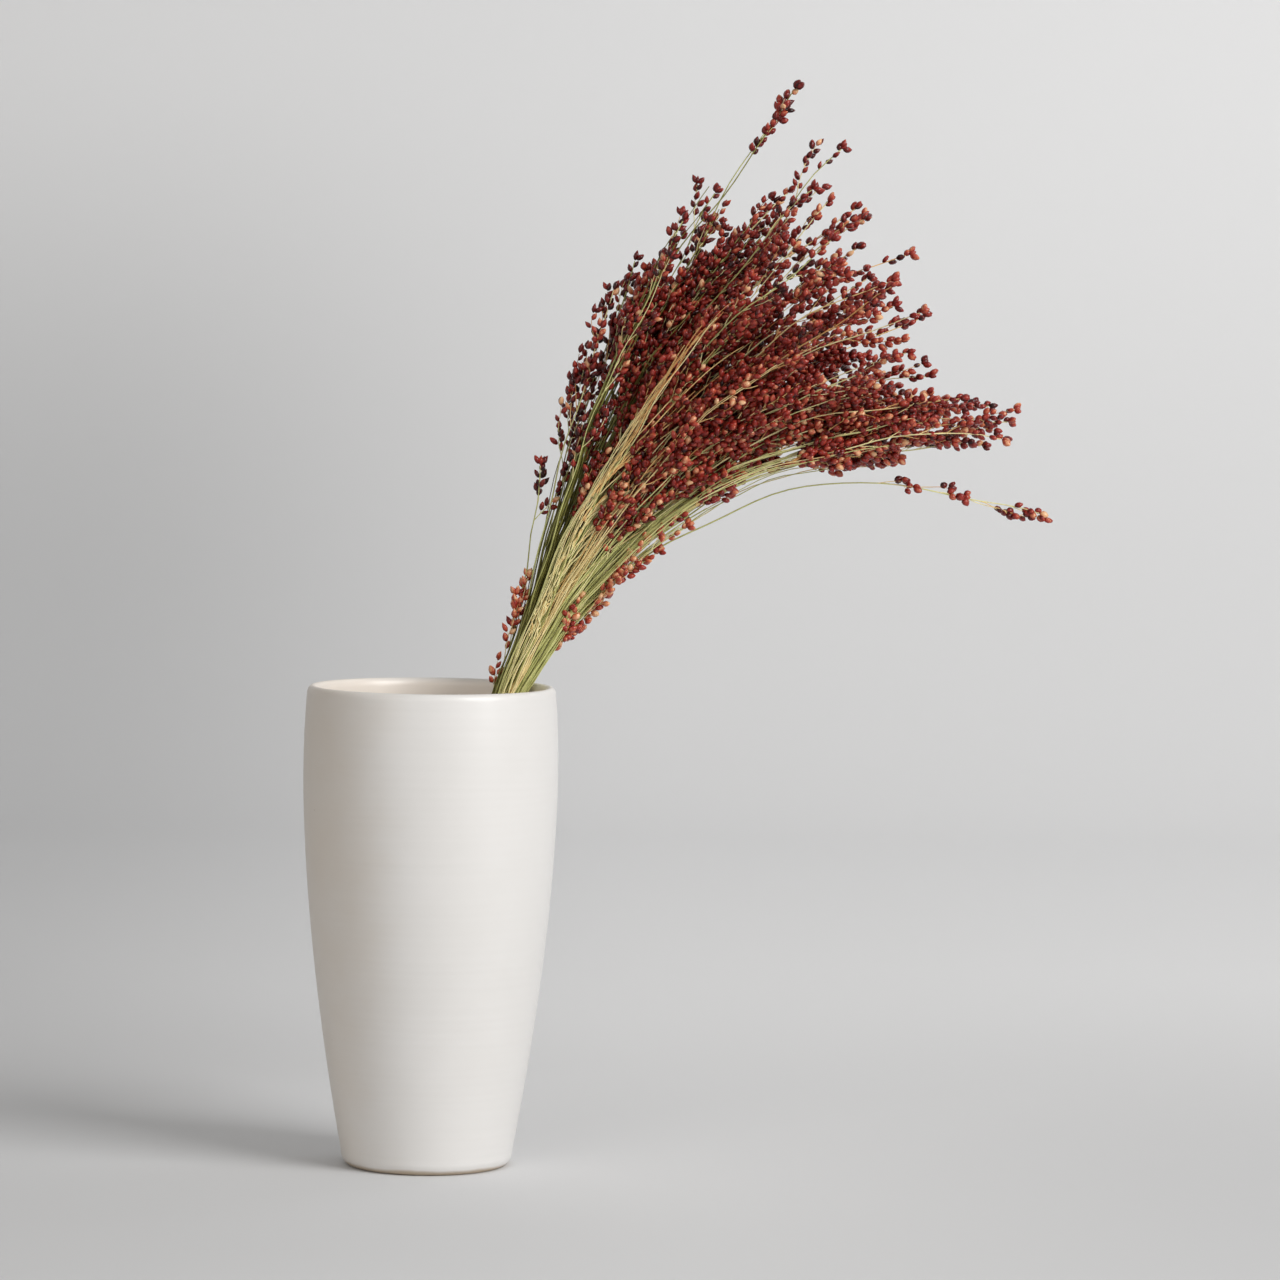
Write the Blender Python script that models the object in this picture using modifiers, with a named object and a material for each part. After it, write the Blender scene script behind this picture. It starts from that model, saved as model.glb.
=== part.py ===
"""A sorghum seed head standing in a thrown vase, in metres, +Z up.

The vase stands on Z = 0 with its axis on the Z axis. The head is one cut stem that stands on the vase's floor,
leans on the rim towards +X and tapers away above it as the head's axis. Long thin branches spring from the axis
in whorls and fan out, first beside one another in a tight bundle and then apart, bending over towards +X under
the weight of their grains. Each branch with its racemes of grains is one solid, called a spray.

A place in the head is given by the line of the fan that it is on and by t, the length along that line past the
rim. A line is named by p, across the fan from -1 (upper left) to 1 (lower right), and by q, from -1 (front) to
1 (back).
"""

import math
import random

import bmesh
import bpy
from mathutils import Vector

SEED = 406

# The vase, from its flat foot up. The side's radius follows vase_radius().
VASE_HEIGHT = 0.252
VASE_FOOT_RADIUS = 0.0395
VASE_EDGE_RADIUS = 0.0451
VASE_EDGE_HEIGHT = 0.0075
VASE_SHOULDER_RADIUS = 0.0667
VASE_SHOULDER_HEIGHT = 0.205
VASE_LIP_RADIUS = 0.0652
VASE_LIP_HEIGHT = 0.2475
VASE_WALL = 0.0054
VASE_WALL_LOW = 0.0072
VASE_FLOOR = 0.008
VASE_CORNER = 0.007
VASE_SWELL = 1.7
VASE_CLOSE = 2.4
VASE_SIDES = 30
VASE_INNER_STATIONS = (0.090, 0.160, 0.215)
VASE_OUTER_STATIONS = (0.232, 0.205, 0.172, 0.138, 0.104, 0.070, 0.038)

# The stem and the head's axis: half its thickness at stations along it, and where its cut end stands.
STEM_RADII = (
    (-0.260, 0.0042),
    (-0.085, 0.0036),
    (-0.050, 0.0030),
    (0.0, 0.0024),
    (0.050, 0.0018),
    (0.100, 0.0012),
)
AXIS_P = 0.22
AXIS_END = 0.100
STALK_RING = 12
TOUCH_GAP = 0.0003

# The fan: where the bundle passes the rim, how wide it is there, and the usual length of its lines past it.
RIM_PLACE = Vector((0.0420, 0.0265, 0.252))
BUNDLE_RADIUS = 0.0068
REACH = 0.340
STEP = 0.0025

# How its lines lean towards +X, in degrees: at the foot, at the rim, soon after it, and more with t as they
# droop. Each value with _PARTING is how much more the line p = 1 has of it than the line p = 0.
FOOT_LEAN = 5.0
RIM_LEAN = 26.0
RIM_PARTING = 4.0
FREE_LEAN = 16.2
FREE_PARTING = 9.2
DROOP = 51.6
DROOP_PARTING = 35.4
GATHER_BELOW = 0.025
GATHER_ABOVE = 0.035

# How they turn towards +Y, in degrees: at the rim all alike, then each by its q.
RIM_SIDE = 5.0
SIDE_EASE = 0.045
NEAR_SIDE = 3.0
NEAR_EASE = 0.030
FAR_SIDE = 17.0

# Whorls of main branches: where each springs from the axis, how many branches it has, and how many racemes
# each bears and of how many grains. From the outermost of the first whorl to the innermost of the last they
# wind inwards through the bundle by the golden angle. They reach MAIN_REACH at most, and more above the line
# p = UPPER_FROM and less about the line p = DIP_P.
WHORLS = (
    (-0.075, 7, 4, 5),
    (-0.050, 7, 4, 5),
    (-0.022, 6, 3, 5),
    (0.014, 5, 3, 4),
    (0.050, 3, 3, 4),
    (0.085, 2, 3, 4),
)
GOLDEN_TURN = math.radians(137.508)
SPIRAL_START = math.radians(268)
SPIRAL_INNER = 0.26
SPIRAL_POWER = 2.3
MAIN_WIDTH = 0.84
MAIN_REACH = 0.320
SHORTEST = 0.86
UPPER_REACH = 0.050
UPPER_FROM = 0.10
MIDDLE_DIP = 0.030
DIP_P = 0.45
DIP_WIDTH = 0.25
MAIN_LIFT = 7.0
GRAINS_FROM = 0.36

# The lowest whorl bears the single sprays round the bundle's outside, in their order round the axis. Each has p,
# q, where it springs round the axis in degrees, how far its tip lifts in degrees, its reach, the t of its first
# raceme, its number of racemes and of grains on each.
SINGLES_ROOT = -0.125
SINGLES = {
    "low_spray_2": (1.08, -0.50, -32, 0, 0.122, 0.040, 3, 3),
    "lone_spray": (1.15, 0.00, 0, 0, 0.312, 0.235, 3, 3),
    "low_spray_1": (1.12, 0.50, 32, 0, 0.070, 0.018, 2, 2),
    "left_spray_5": (-0.64, 0.72, 80, 0, 0.278, 0.130, 3, 5),
    "left_spray_3": (-0.86, 0.42, 110, 0, 0.228, 0.120, 3, 5),
    "low_spray_3": (-1.15, 0.30, 140, 0, 0.054, 0.014, 2, 2),
    "left_spray_1": (-0.93, 0.10, 170, 0, 0.172, 0.085, 3, 4),
    "low_spray_4": (-1.22, -0.10, 200, 20, 0.114, 0.070, 2, 3),
    "left_spray_2": (-0.97, -0.25, 225, 0, 0.213, 0.105, 3, 4),
    "top_spray": (-0.71, -0.32, 258, 1, 0.352, 0.200, 3, 5),
    "left_spray_4": (-0.78, -0.64, 291, 0, 0.262, 0.120, 3, 5),
}

# A branch and its racemes.
BRANCH_RADIUS = 0.00066
BRANCH_TIP_RADIUS = 0.00052
BRANCH_RING = 0.030
RING_APART = 0.010
ROOT_RING = 0.0167
ROOT_SPREAD = 0.050
STRAY_FROM = 0.030
WAVE = 0.0035
WAVE_FORWARD = 0.5
WAVE_LENGTHS = (0.132, 0.151)
DRIFT = 0.010
RACEME_ROOT = 0.00036
RACEME_NECK = 0.00050
RACEME_OPEN = 34.0
RACEME_CLOSE = 16.0
RACEME_BARE = 0.0060
RACEME_FOOT = (0.3, 0.6)
RACEME_SHIFT = 0.4
RACEME_TURN = 0.5
RACEME_TURN_MORE = 0.3
RACEME_TRIES = 14
BRANCH_TRIES = 20
FREE_FROM = round(0.110 / STEP)

# A grain, as a belly on its raceme.
GRAIN_PITCH = 0.0059
GRAIN_MIDDLE = 0.45
GRAIN_BELLY = 0.00235
GRAIN_OFFSET = 0.0013
GRAINS_AT_TIP = 5

# What keeps the sprays off one another: the free space left between them, and the grid that finds neighbours.
CLEARANCE = 0.0007
CELL = 0.008

# Each material's colour and roughness.
STRAW = (0.62, 0.52, 0.27, 0.60)
GRAIN_RED = (0.17, 0.035, 0.022, 0.40)
GLAZE = (0.80, 0.77, 0.71, 0.35)


def make_material(name, look):
    """A plain Principled material of a colour and a roughness."""
    *color, roughness = look
    material = bpy.data.materials.new(name)
    material.use_nodes = True
    shader = material.node_tree.nodes["Principled BSDF"]
    shader.inputs["Base Color"].default_value = (*color, 1.0)
    shader.inputs["Roughness"].default_value = roughness
    return material


def make_object(name, mesh, material, collection):
    """Puts a mesh in the model under a node's name."""
    mesh.name = name
    mesh.materials.clear()
    mesh.materials.append(material)
    made = bpy.data.objects.new(name, mesh)
    collection.objects.link(made)
    return made


def vase_radius(height):
    """Outer radius of the vase's side: it swells up to the shoulder, then closes a little to the lip."""
    if height < VASE_SHOULDER_HEIGHT:
        share = (VASE_SHOULDER_HEIGHT - height) / (VASE_SHOULDER_HEIGHT - VASE_EDGE_HEIGHT)
        return VASE_SHOULDER_RADIUS - (VASE_SHOULDER_RADIUS - VASE_EDGE_RADIUS) * share ** VASE_SWELL
    share = (height - VASE_SHOULDER_HEIGHT) / (VASE_LIP_HEIGHT - VASE_SHOULDER_HEIGHT)
    return VASE_SHOULDER_RADIUS - (VASE_SHOULDER_RADIUS - VASE_LIP_RADIUS) * share ** VASE_CLOSE


def vase_inner_radius(height):
    """Inner radius of the wall, which is thicker low down."""
    share = (height - VASE_FLOOR) / (VASE_LIP_HEIGHT - VASE_FLOOR)
    return vase_radius(height) - VASE_WALL_LOW + (VASE_WALL_LOW - VASE_WALL) * share


def vase_profile():
    """Radius and height from the middle of the floor up the inside, over the lip and down to the foot."""
    profile = [(0.0, VASE_FLOOR)]
    low_inner = vase_inner_radius(VASE_FLOOR + VASE_CORNER) - VASE_CORNER
    for k in range(3):
        angle = math.radians(45 * k)
        radius = low_inner + VASE_CORNER * math.sin(angle)
        profile.append((radius, VASE_FLOOR + VASE_CORNER * (1 - math.cos(angle))))
    for height in VASE_INNER_STATIONS:
        profile.append((vase_inner_radius(height), height))
    lip_middle = VASE_LIP_RADIUS - VASE_WALL / 2
    for k in range(5):
        angle = math.radians(180 - 45 * k)
        rise = (VASE_HEIGHT - VASE_LIP_HEIGHT) * math.sin(angle)
        profile.append((lip_middle + VASE_WALL / 2 * math.cos(angle), VASE_LIP_HEIGHT + rise))
    for height in VASE_OUTER_STATIONS:
        profile.append((vase_radius(height), height))
    for k in range(4):
        angle = math.radians(90 - 30 * k)
        radius = VASE_FOOT_RADIUS + (VASE_EDGE_RADIUS - VASE_FOOT_RADIUS) * math.sin(angle)
        profile.append((radius, VASE_EDGE_HEIGHT * (1 - math.cos(angle))))
    profile.append((0.0, 0.0))
    return profile


def build_vase(collection):
    """The thrown vase: its profile turned about the Z axis."""
    mesh = bpy.data.meshes.new("vase")
    profile = vase_profile()
    edges = [(k, k + 1) for k in range(len(profile) - 1)]
    mesh.from_pydata([(radius, 0.0, height) for radius, height in profile], edges, [])
    vase = make_object("vase", mesh, make_material("glaze", GLAZE), collection)
    turned = vase.modifiers.new("turned", "SCREW")
    turned.axis = "Z"
    turned.angle = math.tau
    turned.steps = VASE_SIDES
    turned.render_steps = VASE_SIDES
    turned.use_merge_vertices = True
    turned.merge_threshold = 0.0001
    turned.use_smooth_shade = True


def lean(t, p):
    """Angle in degrees from the vertical towards +X of the fan's line p at t."""
    if t < 0:
        stem = RIM_LEAN + (RIM_LEAN - FOOT_LEAN) * t / RIM_PLACE.z
        return stem + RIM_PARTING * p * math.exp(t / GATHER_BELOW)
    at_rim = RIM_LEAN + RIM_PARTING * p
    free = FREE_LEAN + FREE_PARTING * p
    return free + (at_rim - free) * math.exp(-t / GATHER_ABOVE) + (DROOP + DROOP_PARTING * p) * t / REACH


def turn_back(t, q):
    """Angle in degrees towards +Y of the fan's line q at t."""
    if t < 0:
        return RIM_SIDE
    parting = NEAR_SIDE * (1 - math.exp(-t / NEAR_EASE)) + FAR_SIDE * t / REACH
    return RIM_SIDE * math.exp(-t / SIDE_EASE) + parting * q


def heading(t, p, q, lift=0.0):
    """Direction of the fan's line (p, q) at t, with its end lifted by some degrees."""
    forward = math.radians(lean(t, p) - lift * max(0.0, t / REACH) ** 2)
    back = math.radians(turn_back(t, q))
    return Vector((math.sin(forward) * math.cos(back), math.sin(back), math.cos(forward) * math.cos(back)))


def fan_line(p, q, low, high, lift=0.0):
    """Places along the line (p, q), one a STEP from low to high, keyed by the number of steps past the rim."""
    across = math.radians(RIM_LEAN)
    start = RIM_PLACE + BUNDLE_RADIUS * Vector((p * math.cos(across), q, -p * math.sin(across)))
    line = {0: start}
    for k in range(round(high / STEP)):
        line[k + 1] = line[k] + heading((k + 0.5) * STEP, p, q, lift) * STEP
    for k in range(0, round(low / STEP), -1):
        line[k - 1] = line[k] - heading((k - 0.5) * STEP, p, q, lift) * STEP
    return line


def stem_radius(t):
    """Half the thickness of the stem and axis at t."""
    for (low, low_radius), (high, high_radius) in zip(STEM_RADII, STEM_RADII[1:]):
        if t <= high:
            return low_radius + (high_radius - low_radius) * (t - low) / (high - low)
    return STEM_RADII[-1][1]


class Spray:
    """One branch of the head: its line in space, and the racemes that it bears."""

    def __init__(self, name, p, q, root, root_turn, lift, reach, grains_from, racemes, grains, axis):
        self.name = name
        self.random = random.Random(f"{SEED} {name}")
        self.root = root
        self.reach = reach
        self.grains_from = grains_from
        self.racemes = racemes
        self.grains = grains
        self.raceme_roots = []
        self.strings = []
        first = round(root / STEP)
        upward = heading(root, AXIS_P, 0.0)
        across = Vector((upward.z, 0.0, -upward.x)).normalized()
        out = across * math.cos(root_turn) + upward.cross(across) * math.sin(root_turn)
        foot = out * (stem_radius(root) + BRANCH_RADIUS + TOUCH_GAP)
        line = fan_line(p, q, root, reach, lift)
        self.straight = []
        for k in range(first, round(reach / STEP) + 1):
            rise = min(1.0, (k * STEP - root) / ROOT_SPREAD)
            spread = rise * rise * (3 - 2 * rise)
            place = line[k] if spread >= 1.0 else (axis[k] + foot).lerp(line[k], spread)
            self.straight.append((k * STEP, place, spread))
        self.stray()

    def stray(self):
        """Lets the branch stray from its line: it waves a little, and drifts towards its tip."""
        phases = [self.random.uniform(0, math.tau) for _ in WAVE_LENGTHS]
        drifts = [self.random.uniform(-DRIFT, DRIFT) for _ in WAVE_LENGTHS]
        self.places = []
        for t, place, spread in self.straight:
            loose = spread * max(0.0, t - STRAY_FROM) / REACH
            swing, bob = (
                WAVE * loose * math.sin(math.tau * t / length + phase) + drift * loose ** 2
                for length, phase, drift in zip(WAVE_LENGTHS, phases, drifts)
            )
            self.places.append(place + Vector((swing * WAVE_FORWARD, bob, -swing)))

    def place(self, t):
        """The branch's place at t."""
        at = (t - self.root) / STEP
        k = min(max(int(at), 0), len(self.places) - 2)
        return self.places[k].lerp(self.places[k + 1], at - k)

    def along(self, t):
        """The branch's direction at t."""
        return (self.place(t + STEP) - self.place(t - STEP)).normalized()


def plan_sprays():
    """All the sprays of the head, before their racemes."""
    axis = fan_line(AXIS_P, 0.0, -RIM_PLACE.z, REACH)
    sprays = []
    total = sum(whorl[1] for whorl in WHORLS)
    for number, (root, count, racemes, grains) in enumerate(WHORLS, start=1):
        for k in range(count):
            share = len(sprays) / (total - 1)
            out = (1 - (1 - SPIRAL_INNER ** SPIRAL_POWER) * share) ** (1 / SPIRAL_POWER)
            angle = SPIRAL_START + GOLDEN_TURN * len(sprays)
            across = MAIN_WIDTH * out * math.cos(angle)
            back = out * math.sin(angle)
            name = f"spray_{number}_{k + 1}"
            p = AXIS_P + across
            draw = random.Random(f"{SEED} reach {name}")
            longest = MAIN_REACH + UPPER_REACH * max(0.0, UPPER_FROM - p)
            longest -= MIDDLE_DIP * math.exp(-(((p - DIP_P) / DIP_WIDTH) ** 2))
            reach = longest * draw.uniform(SHORTEST, 1.0)
            place_in_fan = (p, back, root, math.atan2(back, across), MAIN_LIFT * draw.uniform(-1, 1))
            sprays.append(Spray(name, *place_in_fan, reach, GRAINS_FROM * reach, racemes, grains, axis))
    for name, (p, q, turn, lift, reach, grains_from, racemes, grains) in SINGLES.items():
        place_in_fan = (p, q, SINGLES_ROOT, math.radians(turn), lift)
        sprays.append(Spray(name, *place_in_fan, reach, grains_from, racemes, grains, axis))
    return sprays


class Neighbours:
    """Spheres along everything that is placed, in a grid of cells."""

    def __init__(self):
        self.cells = {}

    def add(self, place, radius, spray, is_raceme):
        """Takes up the space of a sphere."""
        key = tuple(math.floor(c / CELL) for c in place)
        self.cells.setdefault(key, []).append((place, radius, spray, is_raceme))

    def is_free(self, place, radius, spray):
        """Whether a sphere stays clear of the other sprays, and of the racemes of its own."""
        x, y, z = (math.floor(c / CELL) for c in place)
        for key in [(x + i, y + j, z + k) for i in (-1, 0, 1) for j in (-1, 0, 1) for k in (-1, 0, 1)]:
            for other, other_radius, owner, is_raceme in self.cells.get(key, ()):
                if owner == spray and not is_raceme:
                    continue
                if (place - other).length < radius + other_radius + CLEARANCE:
                    return False
        return True


def square_to(direction, angle):
    """A unit vector square to a direction, turned about it by an angle."""
    first = direction.orthogonal().normalized()
    return first * math.cos(angle) + direction.cross(first) * math.sin(angle)


def grain_rings(line, bare, count, turn):
    """Places and radii of a string of grains along a line of places given by a function of length."""
    rings = [(line(bare), RACEME_NECK)]
    for k in range(count):
        middle = bare + (k + GRAIN_MIDDLE) * GRAIN_PITCH
        after = bare + (k + 1) * GRAIN_PITCH
        side = square_to((line(after) - line(middle)).normalized(), turn + k * GOLDEN_TURN)
        rings.append((line(middle) + side * GRAIN_OFFSET, GRAIN_BELLY))
        rings.append((line(after), RACEME_NECK))
    return rings


def raceme_line(spray, t, turn, length):
    """A raceme's middle line, as a function of length: it leaves the branch and bends back along it."""
    root = spray.place(t)
    along = spray.along(t)
    side = square_to(along, turn)
    places = [root]
    steps = math.ceil(length / STEP) + 1
    for k in range(steps):
        angle = math.radians(RACEME_OPEN + (RACEME_CLOSE - RACEME_OPEN) * k / steps)
        places.append(places[-1] + (along * math.cos(angle) + side * math.sin(angle)) * STEP)

    def line(length_along):
        at = length_along / STEP
        k = min(int(at), len(places) - 2)
        return places[k].lerp(places[k + 1], at - k)

    return line


def fits(rings, spray, neighbours):
    """Whether a string of grains has room."""
    return all(neighbours.is_free(place, radius, spray.name) for place, radius in rings)


def lay_strings(sprays):
    """Gives each spray the grains at its tip and its racemes, where they have room."""
    neighbours = Neighbours()
    for spray in sprays:
        for attempt in range(BRANCH_TRIES):
            if all(neighbours.is_free(place, BRANCH_RADIUS, spray.name) for place in spray.places[FREE_FROM:]):
                break
            spray.stray()
        for place in spray.places:
            neighbours.add(place, BRANCH_RADIUS, spray.name, False)
    for spray in sprays:
        lay_tip(spray, neighbours)
    for number in range(max(spray.racemes for spray in sprays)):
        for spray in sprays:
            if number < spray.racemes:
                lay_raceme(spray, number, neighbours)


def lay_tip(spray, neighbours):
    """Adds the grains at a spray's tip, turned until they are clear, with fewer of them if need be."""
    for count in range(GRAINS_AT_TIP, 0, -1):
        for attempt in range(RACEME_TRIES):
            turn = spray.random.uniform(0, math.tau)
            rings = grain_rings(spray.place, spray.reach - count * GRAIN_PITCH, count, turn)
            if fits(rings, spray, neighbours):
                spray.tip = spray.reach - count * GRAIN_PITCH
                spray.strings.append(rings)
                for place, radius in rings:
                    neighbours.add(place, radius, spray.name, True)
                return
    raise ValueError(f"{spray.name} has no room for a grain at its tip")


def lay_raceme(spray, number, neighbours):
    """Adds one raceme to a spray, turned and moved until it is clear of what is there."""
    room = spray.tip - RACEME_BARE - spray.grains_from
    length = RACEME_BARE + spray.grains * GRAIN_PITCH
    for attempt in range(RACEME_TRIES):
        share = (number + 0.5 + RACEME_SHIFT * spray.random.uniform(-1, 1)) / spray.racemes
        t = spray.grains_from + room * share
        free_turn = RACEME_TURN + RACEME_TURN_MORE * attempt
        turn = number * GOLDEN_TURN + spray.random.uniform(-1, 1) * free_turn
        line = raceme_line(spray, t, turn, length)
        rings = grain_rings(line, RACEME_BARE, spray.grains, spray.random.uniform(0, math.tau))
        foot = [(line(RACEME_BARE * part), RACEME_NECK) for part in RACEME_FOOT]
        if fits(foot + rings, spray, neighbours):
            spray.raceme_roots.append(t)
            spray.strings.append([(line(0), RACEME_ROOT)] + rings)
            for place, radius in foot + rings:
                neighbours.add(place, radius, spray.name, True)
            return


def make_profile():
    """The three-sided outline that every branch and raceme is swept with."""
    curve = bpy.data.curves.new("three_sides", "CURVE")
    spline = curve.splines.new("POLY")
    spline.points.add(2)
    for k, point in enumerate(spline.points):
        angle = math.tau * k / 3
        point.co = (math.cos(angle), math.sin(angle), 0.0, 1.0)
    spline.use_cyclic_u = True
    profile = bpy.data.objects.new("three_sides", curve)
    bpy.context.scene.collection.objects.link(profile)
    profile.hide_render = True
    profile.display_type = "WIRE"
    return profile


def swept_mesh(name, rings, profile=None):
    """A closed mesh swept along rings of place and radius, with the profile's sides or six of its own."""
    curve = bpy.data.curves.new(name, "CURVE")
    curve.dimensions = "3D"
    curve.use_fill_caps = True
    if profile is None:
        curve.bevel_depth = 1.0
        curve.bevel_resolution = 1
    else:
        curve.bevel_mode = "OBJECT"
        curve.bevel_object = profile
    spline = curve.splines.new("POLY")
    spline.points.add(len(rings) - 1)
    for point, (place, radius) in zip(spline.points, rings):
        point.co = (*place, 1.0)
        point.radius = radius
    swept = bpy.data.objects.new(name, curve)
    bpy.context.scene.collection.objects.link(swept)
    depsgraph = bpy.context.evaluated_depsgraph_get()
    mesh = bpy.data.meshes.new_from_object(swept.evaluated_get(depsgraph))
    bpy.data.objects.remove(swept)
    bpy.data.curves.remove(curve)
    cage = bmesh.new()
    cage.from_mesh(mesh)
    bmesh.ops.remove_doubles(cage, verts=cage.verts, dist=0.000001)
    bmesh.ops.recalc_face_normals(cage, faces=cage.faces)
    cage.to_mesh(mesh)
    cage.free()
    return mesh


def build_stalk(material, collection):
    """The stem from its cut end on the vase's floor to the tip of the head's axis."""
    low = -RIM_PLACE.z
    line = fan_line(AXIS_P, 0.0, low, AXIS_END)
    slope = math.sin(math.radians(FOOT_LEAN + RIM_SIDE))
    floor = VASE_FLOOR + TOUCH_GAP + stem_radius(low) * slope
    standing = [k for k in sorted(line) if line[k].z > floor]
    chosen = standing[:-STALK_RING:STALK_RING] + [standing[-1]]
    rings = [(line[k], stem_radius(k * STEP)) for k in chosen]
    make_object("stalk", swept_mesh("stalk", rings), material, collection)


def branch_rings(spray):
    """Rings of a spray's branch, then those of the grains at its tip.

    There is one at each raceme's root. Above the branch's own root the others stand at the same t on every
    branch, so that branches side by side bend alike.
    """
    spread = spray.root + ROOT_SPREAD
    stations = [spray.root + k * ROOT_RING for k in range(3)] + sorted(spray.raceme_roots)
    for k in range(math.ceil(spread / BRANCH_RING), math.floor(spray.tip / BRANCH_RING) + 1):
        if all(abs(k * BRANCH_RING - t) > RING_APART for t in spray.raceme_roots + [spray.tip]):
            stations.append(k * BRANCH_RING)
    rings = []
    for t in sorted(stations):
        share = (t - spray.root) / (spray.tip - spray.root)
        rings.append((spray.place(t), BRANCH_RADIUS + (BRANCH_TIP_RADIUS - BRANCH_RADIUS) * share))
    return rings + spray.strings[0]


def build_spray(spray, material, profile, collection):
    """One branch with its grains and racemes, joined into one solid."""
    branch = make_object(spray.name, swept_mesh(spray.name, branch_rings(spray), profile), material, collection)
    racemes = bpy.data.collections.new(spray.name + "_racemes")
    bpy.context.scene.collection.children.link(racemes)
    for rings in spray.strings[1:]:
        make_object("raceme", swept_mesh("raceme", rings, profile), material, racemes)
    if racemes.objects:
        union = branch.modifiers.new("racemes", "BOOLEAN")
        union.operation = "UNION"
        union.operand_type = "COLLECTION"
        union.collection = racemes
        with bpy.context.temp_override(object=branch):
            bpy.ops.object.modifier_apply(modifier=union.name)
    for raceme in list(racemes.objects):
        bpy.data.objects.remove(raceme)
    bpy.data.collections.remove(racemes)


def main():
    """Builds the vase and the head."""
    for leftover in list(bpy.data.objects):
        bpy.data.objects.remove(leftover)
    model = bpy.data.collections.new("sorghum_head")
    bpy.context.scene.collection.children.link(model)
    build_vase(model)
    straw = make_material("straw", STRAW)
    grain = make_material("grain", GRAIN_RED)
    build_stalk(straw, model)
    profile = make_profile()
    sprays = plan_sprays()
    lay_strings(sprays)
    for spray in sprays:
        build_spray(spray, grain, profile, model)
    bpy.data.objects.remove(profile)


main()
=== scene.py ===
"""A sorghum seed head in a thrown vase, finished over its CAD frame, in metres, +Z up.

Each spray of the frame becomes a tuft: a branch with finer branches beside it, all of them with racemes of
spikelets. The fan's lines are worked out as in the part's source, so a tuft lies along its spray. A place in
the head is given by p and q, which name a line of the fan, and by t, the length along that line past the rim.
"""

import math
import random

import bpy
from mathutils import Matrix, Vector
from mathutils.kdtree import KDTree


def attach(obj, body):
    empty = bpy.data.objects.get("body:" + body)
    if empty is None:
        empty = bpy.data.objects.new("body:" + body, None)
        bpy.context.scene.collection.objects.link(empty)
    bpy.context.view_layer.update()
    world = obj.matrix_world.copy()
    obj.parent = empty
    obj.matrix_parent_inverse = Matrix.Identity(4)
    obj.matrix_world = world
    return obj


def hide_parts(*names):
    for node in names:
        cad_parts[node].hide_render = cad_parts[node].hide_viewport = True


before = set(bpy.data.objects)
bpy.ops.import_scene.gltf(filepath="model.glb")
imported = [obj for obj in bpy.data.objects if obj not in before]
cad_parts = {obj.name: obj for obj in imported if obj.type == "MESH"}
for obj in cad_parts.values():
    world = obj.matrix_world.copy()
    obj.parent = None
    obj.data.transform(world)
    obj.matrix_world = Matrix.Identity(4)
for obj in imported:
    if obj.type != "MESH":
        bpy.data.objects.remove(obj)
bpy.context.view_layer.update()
bpy.ops.object.select_all(action="DESELECT")

SEED = 406

# The vase, as in the frame.
VASE_HEIGHT = 0.252
VASE_FOOT_RADIUS = 0.0395
VASE_EDGE_RADIUS = 0.0451
VASE_EDGE_HEIGHT = 0.0075
VASE_SHOULDER_RADIUS = 0.0667
VASE_SHOULDER_HEIGHT = 0.205
VASE_LIP_RADIUS = 0.0652
VASE_LIP_HEIGHT = 0.2475
VASE_WALL = 0.0054
VASE_WALL_LOW = 0.0072
VASE_FLOOR = 0.008
VASE_CORNER = 0.007
VASE_SWELL = 1.7
VASE_CLOSE = 2.4

# The rings that fingers left: their spacing and depth, how far apart the deepest are, the depth of the others
# as a share of theirs, and their phases outside and inside.
RING_SPACING = 0.0105
RING_DEPTH = 0.00007
RING_BEAT = 0.074
RING_EVEN = 0.35
RING_OUTSIDE = 0.4
RING_INSIDE = 2.1

# How finely the vase is modelled: its sides, the height of a step outside, the steps round the foot's edge,
# over the lip, down the inside and round the floor's corner, and those over which rings and the painted light
# inside fade.
VASE_SIDES = 112
VASE_STEP = 0.0019
FOOT_RINGS = (0.55, 0.97)
FOOT_STEPS = 8
LIP_STEPS = 12
INSIDE_STEPS = 48
CORNER_STEPS = 6
FADE_OUTSIDE = 6
FADE_INSIDE = 4
INSIDE_LIGHT_FADE = 5

# The stem and the head's axis, as in the frame, and the finer end that the axis gets here.
STEM_RADII = (
    (-0.260, 0.0042),
    (-0.085, 0.0036),
    (-0.050, 0.0030),
    (0.0, 0.0024),
    (0.050, 0.0018),
    (0.100, 0.0012),
    (0.210, 0.0005),
)
AXIS_P = 0.22
AXIS_END = 0.210
STEM_FLUTES = 11
STEM_FLUTE_DEPTH = 0.10
SWELLING = 0.16
SWELLING_LENGTH = 0.004
MOST_SWOLLEN = 1.15
STEM_TONES = ((0.0, 0.52), (0.15, 0.66))
TOUCH_GAP = 0.0003

# The fan, as in the frame.
RIM_PLACE = Vector((0.0420, 0.0265, 0.252))
BUNDLE_RADIUS = 0.0068
REACH = 0.340
STEP = 0.0025
FOOT_LEAN = 5.0
RIM_LEAN = 26.0
RIM_PARTING = 4.0
FREE_LEAN = 16.2
FREE_PARTING = 9.2
DROOP = 51.6
DROOP_PARTING = 35.4
GATHER_BELOW = 0.025
GATHER_ABOVE = 0.035
RIM_SIDE = 5.0
SIDE_EASE = 0.045
NEAR_SIDE = 3.0
NEAR_EASE = 0.030
FAR_SIDE = 17.0
BRANCH_RADIUS = 0.00066
ROOT_SPREAD = 0.050
STRAY_FROM = 0.030
WAVE = 0.0035
WAVE_FORWARD = 0.5
WAVE_LENGTHS = (0.132, 0.151)
DRIFT = 0.010
BRANCH_TRIES = 20
FREE_FROM = round(0.110 / STEP)
CLEARANCE = 0.0007

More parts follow.
